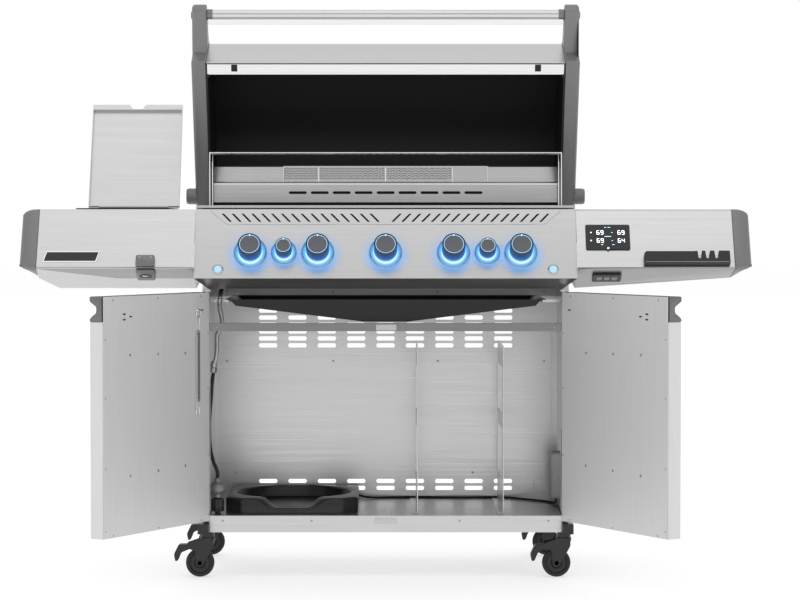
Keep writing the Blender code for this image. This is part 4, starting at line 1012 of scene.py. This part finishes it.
def build_chain():
    """A chain on the left door: a ring, a thin link, a run of small links and a beaded strand."""
    x, y = 0.432, DOOR_INNER
    torus_steps = 14

    def link(at, turn, long, wide, wire):
        """A stretched ring: two half circles joined by straight runs, its wire carried round."""
        angle = round_angles(torus_steps)
        u = np.cos(angle) * wide
        v = np.sin(angle) * wide + np.sign(np.sin(angle)) * long
        path = np.stack([u * math.cos(turn), u * math.sin(turn), v], 1) + at
        return sweep(path, circle(wire, 5), (math.sin(turn), -math.cos(turn), 0), closed=True)

    top = 0.716
    ring = link(np.array((x, y + 0.0035, top)), 0.0, 0.0, 0.0105, 0.0014)
    thin = link(np.array((x, y + 0.0040, top - 0.0290)), 0.3, 0.0140, 0.0026, 0.0009)
    piece("chain_ring", on_door(-1, joined(ring, thin)), BRIGHT, "left_door")
    links = []
    for n in range(27):
        at = np.array((x, y + 0.0048, top - 0.052 - n * 0.0069))
        links.append(link(at, 0.25 + (n % 2) * 1.4, 0.0022, 0.0030, 0.0010))
    piece("chain_links", on_door(-1, joined(*links)), CHAIN_STEEL, "left_door")
    beads = []
    for n in range(44):
        z = top - 0.060 - n * 0.0046
        sway = 0.0085 + 0.0006 * math.sin(n * 0.7)
        beads.append(lathe([(0, 0.0017), (0.0013, 0.0012), (0.0018, 0), (0.0013, -0.0012), (0, -0.0017)], 8,
                           stand((x - sway, y + 0.0045, z), (1, 0, 0), (0, 0, 1))))
    piece("chain_beads", on_door(-1, joined(*beads)), BRIGHT, "left_door")
    clip = link(np.array((x - 0.006, y + 0.0050, top - 0.262)), 0.2, 0.0060, 0.0052, 0.0012)
    piece("chain_clip", on_door(-1, clip), BRIGHT, "left_door")


for door, way in (("left_door", -1), ("right_door", 1)):
    build_door(door, way, *door_places())
build_chain()


# ---- cabinet ----
FLOOR_FRONT = 0.060
CART_BACK = 0.510


def screw_heads(places, out, radius=0.0042):
    """Low domed heads, each turned about its own normal: a short profile of radius and height."""
    profile = [(0, 0.0016), (radius * 0.4, 0.0014), (radius * 0.85, 0.0009), (radius, 0.0001), (radius, -0.0006),
               (0, -0.0006)]
    return joined(*[lathe(profile, 14, stand(at, (0.3, 0.2, 1.0) if abs(out[2]) < 0.9 else (1, 0, 0), out))
                    for at in places])


def build_cabinet():
    """Catches, fixings, cut-outs and the folded details of the cabinet."""
    catches = (("floor_catch", (-0.030, 0.030), (0.1445, 0.1600),
                ((-0.027, -0.004), (0.004, 0.027)), (0.1475, 0.1570)),
               ("rail_catch", (-0.026, 0.029), (0.6670, 0.6835),
                ((-0.022, -0.002), (0.004, 0.024)), (0.6700, 0.6805)))
    plate_y, magnet_y = (FLOOR_FRONT - 0.0018, FLOOR_FRONT - 0.0002), (FLOOR_FRONT - 0.0030, FLOOR_FRONT - 0.0016)
    for name, plate_x, plate_z, magnets_x, magnet_z in catches:
        shapes = [block(plate_x, plate_y, plate_z, 0.0004)]
        shapes += [block(magnet_x, magnet_y, magnet_z, 0.0004) for magnet_x in magnets_x]
        piece(name, joined(*shapes), CLIP_STEEL, "cart")
    heads = [(x, FLOOR_FRONT - 0.0001, 0.1520) for x in (-0.440, -0.200, 0.200, 0.440)]
    heads += [(x, FLOOR_FRONT - 0.0001, 0.676) for x in (-0.455, 0.455)]
    piece("front_fixings", screw_heads(heads, (0, -1, 0), 0.0030), SCREW_STEEL, "cart")
    back = [(x, CART_BACK - 0.0001, z) for x in (-0.455, -0.150, 0.150, 0.455) for z in (0.560, 0.760)]
    back += [(x, CART_BACK - 0.0001, 0.240) for x in (-0.430, 0.250)]
    piece("back_fixings", screw_heads(back, (0, -1, 0), 0.0032), SCREW_STEEL, "cart")
    rear = [(x, CART_BACK + 0.0021, z) for x in (-0.470, 0.470) for z in (0.180, 0.400, 0.600, 0.770)]
    piece("rear_fixings", screw_heads(rear, (0, 1, 0), 0.0036), SCREW_STEEL, "cart")
    ring = [(0.0185, 0.0001), (0.0187, 0.0008), (0.0200, 0.0010), (0.0212, 0.0008), (0.0214, 0.0001)]
    piece("knock_out_ring", lathe(ring, 40, stand((0.444, CART_BACK - 0.0001, 0.205), (1, 0, 0), (0, -1, 0))),
          STEEL, "cart")
    for side, name in ((-1, "left"), (1, "right")):
        shapes = [block((side * 0.4744, side * 0.4756), (0.085, 0.088), (0.1750, 0.6600), 0.0004),
                  block((side * 0.4744, side * 0.4756), (0.470, 0.473), (0.1750, 0.6600), 0.0004)]
        piece(name + "_wall_beads", joined(*shapes), STEEL, "cart")


build_cabinet()


# ---- control panel trim ----
PANEL_TOP = 0.994
PANEL_HALF = 0.513


def on_face(points, foot, proud=0.0):
    """Points (x, z) of a slanted face as places in space, a little proud of it."""
    return np.array([(fascia(x, z, foot, proud))[:3, 3] for x, z in points])


def build_panel_trim():
    """A bright bar along the panel's top and a shallow pressed frame round its vents."""
    bar = block((-PANEL_HALF + 0.0005, PANEL_HALF - 0.0005), (0.0866, 0.0896), (0.9972, 1.0045), 0.0010)
    piece("panel_top_bar", bar, BEZEL_STEEL, "cart")
    frame_line = [(-0.4728, 0.9890), (-0.4280, 0.9530), (0.4280, 0.9530), (0.4728, 0.9890)]
    knots = on_face(frame_line, 0.809, 0.0002)
    eased = []
    for before, here, after in zip(knots, knots[1:], knots[2:]):
        start, end = here + (before - here) / 12, here + (after - here) * 0.008
        t = np.linspace(0, 1, 6)[:, None]
        eased.append((1 - t) ** 2 * start + 2 * t * (1 - t) * here + t ** 2 * end)
    path = np.concatenate([knots[:1], *eased, knots[-1:]])
    section = [(-0.0012, -0.0004), (0.0012, -0.0004), (0.0005, 0.0005), (-0.0005, 0.0005)]
    out = fascia(0, 0.9, 0.809)[:3, 2]
    piece("panel_pressed_frame", sweep(path, section, out), PRESSED, "cart")


# ---- side shelves ----
SHELF_IN = 0.5133
SHELF_OUT = 0.934
CAP_OUT = 0.981
SHELF_BACK = 0.460
SHELF_LOW = 0.836
BEVEL_IN = 0.884
BEVEL_RISE = (0.836 - 0.780) / (0.981 - 0.884)


def eased_corner(before, here, after, radius, steps):
    """A curve that leaves and meets a corner's legs at radius: (1 - t)^2 start + 2 t (1 - t) corner + t^2 end."""
    start, end = (here + leg / np.linalg.norm(leg) * min(radius, np.linalg.norm(leg) * 0.45)
                  for leg in (before - here, after - here))
    return [(1 - t) ** 2 * start + 2 * t * (1 - t) * here + t ** 2 * end for t in np.linspace(0, 1, steps)]


def rounded_line(points, radius, steps=6):
    """An open line whose inner corners become arcs."""
    points = [np.array(point, float) for point in points]
    made = [points[0]]
    for before, here, after in zip(points, points[1:], points[2:]):
        made += eased_corner(before, here, after, radius, steps)
    return np.array([*made, points[-1]])


def rounded_ring(points, radius, steps=5):
    """A closed outline whose corners become arcs."""
    points = [np.array(point, float) for point in points]
    made = []
    for n, here in enumerate(points):
        made += eased_corner(points[n - 1], here, points[(n + 1) % len(points)], radius, steps)
    return np.array(made)


def lifted_end(points):
    """Raises what lies under the slanted cut of a shelf's outer end onto the cut."""
    floor = 0.780 + (np.abs(points[:, 0]) - BEVEL_IN) * BEVEL_RISE
    points = points.copy()
    points[:, 2] = np.maximum(points[:, 2], floor)
    return points


def build_shelf_caps():
    """Cast end caps: the shelf's outline with rounded corners, crowned outwards and cut away below."""
    outline = rounded_line([(SHELF_BACK - 0.06, PANEL_TOP), (0.086, PANEL_TOP), (0.0, SHELF_LOW), (0.112, 0.780),
                            (0.300, 0.800), (SHELF_BACK, 0.900), (SHELF_BACK, PANEL_TOP),
                            (SHELF_BACK - 0.06, PANEL_TOP)], 0.012)[:-1]
    edge = counterclockwise(outline)
    roll = np.linspace(0, 1, 9) ** 0.8
    xs = [SHELF_OUT + 0.0006, SHELF_OUT + 0.0016, *(SHELF_OUT + 0.010 + (CAP_OUT - SHELF_OUT - 0.010) * roll)]
    ins = [0.0012, 0.0, *(0.020 * (1 - np.sqrt(np.maximum(1 - roll ** 2 * 0.96, 0))))]
    grid = np.stack([np.column_stack([inset(edge, inward), np.full(len(edge), x)]) for x, inward in zip(xs, ins)])
    shape = moved(surface(grid, wrap_v=True, cap=True), ALONG["X"])
    for way, name in ((-1, "left_shelf_cap"), (1, "right_shelf_cap")):
        made = shape if way > 0 else mirrored(shape)
        piece(name + "_shell", (lifted_end(made[0]), made[1]), CASTING, "cart", name, smooth=40)


def build_badge():
    """A plain dark plate with slanted ends in a bright rim."""
    def slanted(wide, tall, lean):
        return np.array([(-wide - lean, -tall), (wide - lean, -tall), (wide + lean, tall), (-wide + lean, tall)])

    place = on_shelf(-0.8420, 0.8665, 0.0001)
    rim = slab(slanted(0.0720, 0.0160, 0.0045), 0, 0.0016, 0.0006)
    piece("badge_rim", moved(rim, place), BRIGHT, "cart")
    plate = slab(slanted(0.0690, 0.0132, 0.0038), 0.0015, 0.0024, 0.0004)
    piece("badge_plate", moved(plate, place), GLASS, "cart")


def under_shelf(x, z, proud=0.0):
    """The matrix of a spot on a shelf's slanted underside: X across, Y up the slope, Z outwards."""
    up = np.array((0.0, -0.112, 0.056))
    up /= np.linalg.norm(up)
    out = np.array((0.0, -up[2], up[1]))
    return stand(np.array((x, (SHELF_LOW - z) / 0.056 * 0.112, z)) + out * proud, (1, 0, 0), out)


def build_opener():
    """A cast bottle opener folded over the shelf's lower edge: a plain hood above, a hooked mouth below."""
    x = -0.6430
    upper = slab(rounded_ring([(-0.0255, -0.0160), (0.0255, -0.0160), (0.0250, 0.0165), (-0.0250, 0.0165)], 0.005),
                 0.0004, 0.0120, 0.0030)
    piece("opener_hood", moved(upper, on_shelf(x, 0.8530)), CASTING, "cart", smooth=50)
    lower = slab(rounded_ring([(-0.0245, -0.0330), (0.0245, -0.0330), (0.0255, 0.0200), (-0.0255, 0.0200)], 0.006),
                 0.0004, 0.0110, 0.0030)
    piece("opener_body", moved(lower, under_shelf(x, 0.8260)), CASTING, "cart", smooth=50)
    mouth = slab(rounded(0.034, 0.022, 0.008, 6) + (0, -0.004), 0.0106, 0.0116, 0.0003)
    piece("opener_mouth", moved(mouth, under_shelf(x, 0.8260)), ENAMEL, "cart")
    tooth = slab(rounded(0.016, 0.0060, 0.0025, 4) + (0, 0.0030), 0.0112, 0.0150, 0.0010)
    piece("opener_tooth", moved(tooth, under_shelf(x, 0.8260)), BEZEL_STEEL, "cart")
    heads = [lathe([(0, 0.0132), (0.0024, 0.0130), (0.0030, 0.0122), (0.0030, 0.0110), (0, 0.0110)], 16,
                   on_shelf(x + u, 0.8600)) for u in (-0.015, 0.015)]
    piece("opener_screws", joined(*heads), SCREW_STEEL, "cart")


def build_shelves():
    """Folded steel undersides, darkened as painted shade, and the right shelf's top and fascia in one sheet with
    rounded bends.
    """
    top_line = rounded_line([(SHELF_BACK, 0.900), (SHELF_BACK, PANEL_TOP), (0.086, PANEL_TOP),
                             (0.0006, SHELF_LOW + 0.0015)], 0.009)
    under_line = rounded_line([(0.0000, SHELF_LOW + 0.0030), (0.0004, SHELF_LOW - 0.0004), (0.112, 0.7802),
                               (0.300, 0.800)], 0.004)
    points, faces = strip(under_line, 0.0022, SHELF_IN, SHELF_OUT, 0.0003)
    under = lifted_end(points), faces
    # Painted shade: the undersides take the darker steel because they face down.
    piece("left_shelf_underside", mirrored(under), SHADED_UNDER_STEEL, "cart")
    piece("right_shelf_underside", under, SHADED_UNDER_STEEL, "cart")
    piece("right_shelf_top", strip(top_line, 0.0024, SHELF_IN, SHELF_OUT, 0.0003), STEEL, "cart", "right_shelf")


def shift_matrix(x, y, z=0.0):
    made = np.eye(4)
    made[:3, 3] = (x, y, z)
    return made


# ---- display ----
SEGMENTS = {"6": "acdefg", "9": "abcdfg", "4": "bcfg"}


def digit(text, wide, tall, thick):
    """The lit bars of a seven-bar numeral as flat slabs."""
    lines = {"a": (0, tall, 1), "g": (0, 0, 1), "d": (0, -tall, 1), "f": (-wide, tall / 2, 0),
             "b": (wide, tall / 2, 0), "e": (-wide, -tall / 2, 0), "c": (wide, -tall / 2, 0)}
    made = []
    for key in SEGMENTS[text]:
        u, v, lying = lines[key]
        long = (2 * wide if lying else tall) - thick * 0.4
        bar = rounded(long, thick, thick * 0.45, 3) if lying else rounded(thick, long, thick * 0.45, 3)
        made.append(slab(bar + (u, v), 0, 0.0002))
    return joined(*made)


def build_display():
    """A rounded black glass, four lit readings with small signs, and a round button."""
    place = on_shelf(0.597, 0.9175, 0.0005)
    glass = slab(rounded(0.1190, 0.0760, 0.004, 6), 0, 0.0036, 0.0010)
    piece("display_glass", moved(glass, place), GLASS, "cart", "display_module")
    shapes = []
    for row, (left, right) in enumerate((("69", "69"), ("69", "64"))):
        v = 0.0135 - row * 0.0245
        for start, text in ((-0.0260, left), (0.0305, right)):
            for n, mark in enumerate(text):
                shapes.append(shifted(digit(mark, 0.0033, 0.0058, 0.0016), start + n * 0.0105, v, 0.0037))
    piece("display_readings", moved(joined(*shapes), place), WHITE_LIGHT, "cart")
    signs = [shifted(slab(rounded(0.0042, 0.0042, 0.002, 4), 0, 0.0002), u, v, 0.0037)
             for u, v in ((-0.0450, 0.0135), (-0.0450, -0.0110))]
    signs += [shifted(slab(rounded(wide, 0.0013, 0.0005, 3), 0, 0.0002), u, v, 0.0037)
              for u, v, wide in ((-0.006, 0.0290, 0.005), (0.004, 0.0290, 0.007), (0.0115, 0.0135, 0.004),
                                 (0.0115, -0.0110, 0.004), (0.0, 0.0015, 0.018), (-0.016, -0.0235, 0.006),
                                 (0.014, -0.0235, 0.006))]
    piece("display_signs", moved(joined(*signs), place), PALE_BLUE, "cart")
    button = lathe([(0, 0.0048), (0.0050, 0.0047), (0.0058, 0.0040), (0.0060, 0.0030), (0.0060, 0.0008),
                    (0, 0.0008)], 32, place @ shift_matrix(0, -0.0345))
    piece("display_button", button, PLASTIC, "cart")
    ring = lathe([(0.0020, 0.00482), (0.0021, 0.00502), (0.0029, 0.00502), (0.0030, 0.00480)], 24,
                 place @ shift_matrix(0, -0.0345))
    piece("display_button_ring", ring, WHITE_LIGHT, "cart")


def build_tool_rail():
    """A moulded rail with a sloping shoulder and three hook notches with raised tabs."""
    place = on_shelf(0.806, 0.859, 0.0006)
    half, tall = 0.1148, 0.0188
    line = [(-half, -tall), (half, -tall), (half, tall)]
    for x in (0.085, 0.061, 0.040):
        line += [(x, tall), (x - 0.0018, -0.0030), (x - 0.0055, -0.0048), (x - 0.0098, -0.0030), (x - 0.012, tall)]
    line += [(0.020, tall * 0.92), (-half + 0.006, tall * 0.92), (-half, tall * 0.55)]
    piece("tool_rail_body", moved(slab(rounded_ring(line, 0.0022), 0, 0.0176, 0.0016), place), PLASTIC, "cart",
          "tool_rail", smooth=40)
    lip = [(-half + 0.003, -tall + 0.002), (half - 0.003, -tall + 0.002), (half - 0.003, -tall + 0.0045),
           (-half + 0.003, -tall + 0.0045)]
    piece("tool_rail_lip", moved(slab(np.array(lip), 0.0174, 0.0181, 0.0003), place), CASTING, "cart")


def build_port_cover():
    """A small dark cover with three ribs on the right shelf's lower bend."""
    place = under_shelf(0.595, 0.8105, 0.0002)
    piece("port_cover", moved(slab(rounded(0.078, 0.044, 0.004, 5), 0, 0.0030, 0.0010), place), PLASTIC, "cart")
    ribs = [shifted(slab(rounded(0.014, 0.0200, 0.0020, 3), 0.0028, 0.0038, 0.0003), u, 0, 0)
            for u in (-0.020, 0.0, 0.020)]
    piece("port_cover_ribs", moved(joined(*ribs), place), CASTING, "cart")


build_panel_trim()
build_shelves()
build_shelf_caps()
build_badge()
build_opener()
build_display()
build_tool_rail()
build_port_cover()


# ---- casters ----
def build_caster(name, x, y):
    """Pressed fork plates with rounded corners, a moulded tyre on a hub, and a curved brake pedal."""
    fork, wheel, pedal = name + "_fork", name + "_wheel", name + "_pedal"
    side = [(x + 0.0175, 0.1045), (x - 0.0175, 0.1045), (x - 0.0550, 0.0915), (x - 0.0550, 0.0785),
            (x - 0.0335, 0.0715), (x - 0.0298, 0.0305), (x - 0.0122, 0.0305), (x + 0.0175, 0.0855)]
    outline = rounded_ring(side, 0.004)[:, ::-1]
    plates = [slab(outline, middle - 0.0014, middle + 0.0014, 0.0006, "Y") for middle in (y - 0.0180, y + 0.0180)]
    head = lathe([(0.0, 0.0962), (0.0150, 0.0962), (0.0196, 0.0968), (0.0208, 0.0990), (0.0208, 0.1060),
                  (0.0196, 0.1074), (0.0, 0.1076)], 40, stand((x, y, 0.0), (1, 0, 0), (0, 0, 1)))
    neck = block((x - 0.0170, x + 0.0165), (y - 0.0178, y + 0.0178), (0.0905, 0.0965), 0.0008)
    ends = [lathe([(0.0, 0.0), (0.0062, 0.0), (0.0060, 0.0004), (0.0, 0.0004)], 20,
                  stand((x - 0.020, y + way * 0.0190, 0.0385), (1, 0, 0), (0, way, 0))) for way in (-1, 1)]
    piece(fork + "_pressing", joined(*plates, head, neck, *ends), CASTER_BLACK, fork, fork, smooth=40)
    half = 0.0150
    tyre = [(0.0262, half - 0.0052), (0.0280, half - 0.0010), (0.0292, half - 0.0002), (0.0330, half - 0.0002),
            (0.0362, half - 0.0016), (0.0378, half - 0.0046), (0.0385, 0.0040)]
    tyre += [(r, -h) for r, h in tyre[::-1]]
    hub = [(0.0046, half - 0.0004), (0.0120, half - 0.0004), (0.0134, half - 0.0030), (0.0160, half - 0.0052),
           (0.0262, half - 0.0056)]
    hub += [(r, -h) for r, h in hub[::-1]]
    place = stand((x - 0.020, y, 0.0385), (1, 0, 0), (0, 1, 0))
    piece(wheel + "_tyre", lathe([*tyre, tyre[0]], 64, place), RUBBER, wheel, wheel)
    piece(wheel + "_hub", lathe([*hub, hub[0]], 64, place), CASTER_BLACK, wheel)
    lever = [(x - 0.0445, 0.0895), (x - 0.0775, 0.0885), (x - 0.0903, 0.0620), (x - 0.0868, 0.0425),
             (x - 0.0792, 0.0445), (x - 0.0705, 0.0665), (x - 0.0560, 0.0725), (x - 0.0445, 0.0780)]
    tread = slab(rounded_ring(lever, 0.005)[:, ::-1], y - 0.0160, y + 0.0160, 0.0022, "Y")
    piece(pedal + "_tread", tread, CASTER_BLACK, pedal, pedal, smooth=40)


def build_tank_tray():
    """A moulded tray in rings out from its middle: a round dish, a soft rim with a dip in front, a flat foot."""
    x0, x1, y0, y1 = -0.4376, -0.0754, 0.1064, 0.4756
    centre = np.array(((x0 + x1) / 2, 0.306))
    steps = 192
    angle = round_angles(steps)
    way = np.column_stack([np.cos(angle), np.sin(angle)])
    cut = 0.030
    deep = np.where(way[:, 1] > 0, y1 - centre[1], centre[1] - y0)
    reach = np.minimum((x1 - x0) / 2 / np.maximum(np.abs(way[:, 0]), 1e-6),
                       deep / np.maximum(np.abs(way[:, 1]), 1e-6))
    corner = ((x1 - x0) / 2 + (y1 - y0) / 2 - cut) / (np.abs(way[:, 0]) + np.abs(way[:, 1]) + 1e-6)
    reach = np.minimum(reach, corner) - 0.0006
    low = np.exp(-(((angle - 1.5 * math.pi + math.pi) % (2 * math.pi) - math.pi) / 0.40) ** 6)
    rows = [(0.0, 0.1752), (0.60, 0.1752), (0.93, 0.1754), (0.985, 0.1770), (1.0, 0.1810)]
    rings = [np.column_stack([centre + way * 0.1590 * f, np.full(steps, z)]) for f, z in rows]
    top = 0.2078 - 0.0270 * low
    wall = np.minimum(reach - 0.003, 0.1600)
    for f, dz in ((0.0, -0.004), (0.06, -0.0012), (0.14, 0.0), (0.86, 0.0), (0.95, -0.0012), (1.0, -0.0045)):
        radius = wall + (reach - wall) * f
        rings.append(np.column_stack([centre + way * radius[:, None], top + dz]))
    rings.append(np.column_stack([centre + way * reach[:, None], np.full(steps, 0.1668)]))
    rings.append(np.column_stack([centre + way * 0.0, np.full(steps, 0.1668)]))
    moulding = surface(np.stack(rings), wrap_v=True)
    piece("tank_tray_moulding", moulding, TRAY_PLASTIC, "cart", "tank_tray", smooth=45)


# ---- gas line ----
def build_gas_line():
    """A convoluted connector from the panel to the hose, with its nuts, and a round regulator with a hand nut."""
    knots = [(-0.448, 0.205, 0.786), (-0.448, 0.170, 0.781)]
    knots += [(x, GAS_Y, z) for x, z in (
        (-0.449, 0.758), (-0.451, 0.733), (-0.444, 0.690), (-0.449, 0.668), (-0.458, 0.652), (-0.458, 0.625),
        (-0.460, 0.600), (-0.465, 0.569))]
    path = curve_through(knots, 0.0009)
    along = np.concatenate([[0], np.cumsum(np.linalg.norm(np.diff(path, axis=0), axis=1))])
    swell = 0.0058 + 0.0006 * np.sin(along * 2 * math.pi / 0.0045)
    heading = np.gradient(path, axis=0)
    heading /= np.linalg.norm(heading, axis=1)[:, None]
    first = np.cross(heading, np.tile((1.0, 0.05, 0.0), (len(path), 1)))
    first /= np.linalg.norm(first, axis=1)[:, None]
    second = np.cross(heading, first)
    angle = round_angles(20)
    grid = path[:, None] + swell[:, None, None] * (np.cos(angle)[None, :, None] * first[:, None]
                                                    + np.sin(angle)[None, :, None] * second[:, None])
    ends = [np.tile(path[i], (1, 20, 1)) for i in (0, -1)]
    piece("connector_braid", surface(np.concatenate([ends[0], grid, ends[1]]), wrap_v=True), BRAID, "cart",
          "flex_connector", smooth=60)
    nut = [(0, 0.0), (0.0068, 0.0), (0.0088, 0.0012), (0.0088, 0.0130), (0.0070, 0.0145), (0.0070, 0.0180),
           (0, 0.0180)]
    nuts = [lathe(nut, sides, stand((-0.468, GAS_Y, z), (1, 0, 0), (0.10, 0, 1)))
            for sides, z in ((6, 0.5500), (24, 0.5640))]
    piece("connector_nuts", joined(*nuts), SCREW_STEEL, "cart", smooth=40)
    body = [(0.0, 0.0), (0.0078, 0.0), (0.0100, -0.0110), (0.0180, -0.0150), (0.0214, -0.0190), (0.0236, -0.0250),
            (0.0238, -0.0310), (0.0200, -0.0370), (0.0112, -0.0440), (0.0112, -0.0520), (0.0, -0.0520)]
    place = stand((-0.457, GAS_Y, 0.263), (1, 0, 0), (0, 0, 1))
    piece("regulator_body", lathe(body[::-1], 48, place), CASTING, "cart", "regulator", smooth=45)
    profile = [(0.0, -0.0966), (0.0076, -0.0966), (0.0078, -0.0905), (0.0168, -0.0898), (0.0178, -0.0880),
               (0.0178, -0.0580), (0.0166, -0.0562), (0.0112, -0.0530), (0.0, -0.0530)]

    def lobes(r, _, a):
        """Twelve finger grooves where the nut is widest."""
        return np.where(r > 0.0160, 0.0012, 0.0) * (0.5 + 0.5 * np.cos(12 * a))

    piece("regulator_hand_nut", lathe(profile, 72, place, lobes), PLASTIC, "cart", smooth=50)


def build_power_supply():
    """A pale moulded supply with cooling ribs, on a flat bracket."""
    body = slab(rounded(0.0796, 0.1286, 0.010, 8), 0.4625, 0.4915, 0.004, "X")
    body = shifted(body, 0, 0.340, 0.2505)
    piece("supply_case", body, WHITE, "cart", "power_supply", smooth=40)
    ribs = [block((0.4621, 0.4650), (0.312, 0.368), (z - 0.0016, z + 0.0016), 0.0006)
            for z in np.arange(0.205, 0.298, 0.010)]
    piece("supply_ribs", joined(*ribs), WHITE, "cart")
    bracket = block((0.4885, 0.4912), (0.312, 0.368), (0.300, 0.3755), 0.0006)
    piece("supply_bracket", bracket, CLIP_STEEL, "cart")


for caster_name, caster_x, caster_y in (("front_left_caster", -0.482, 0.070), ("front_right_caster", 0.482, 0.070),
                                        ("rear_left_caster", -0.482, 0.534), ("rear_right_caster", 0.482, 0.534)):
    build_caster(caster_name, caster_x, caster_y)
build_tank_tray()
build_gas_line()
build_power_supply()


bpy.context.view_layer.update()
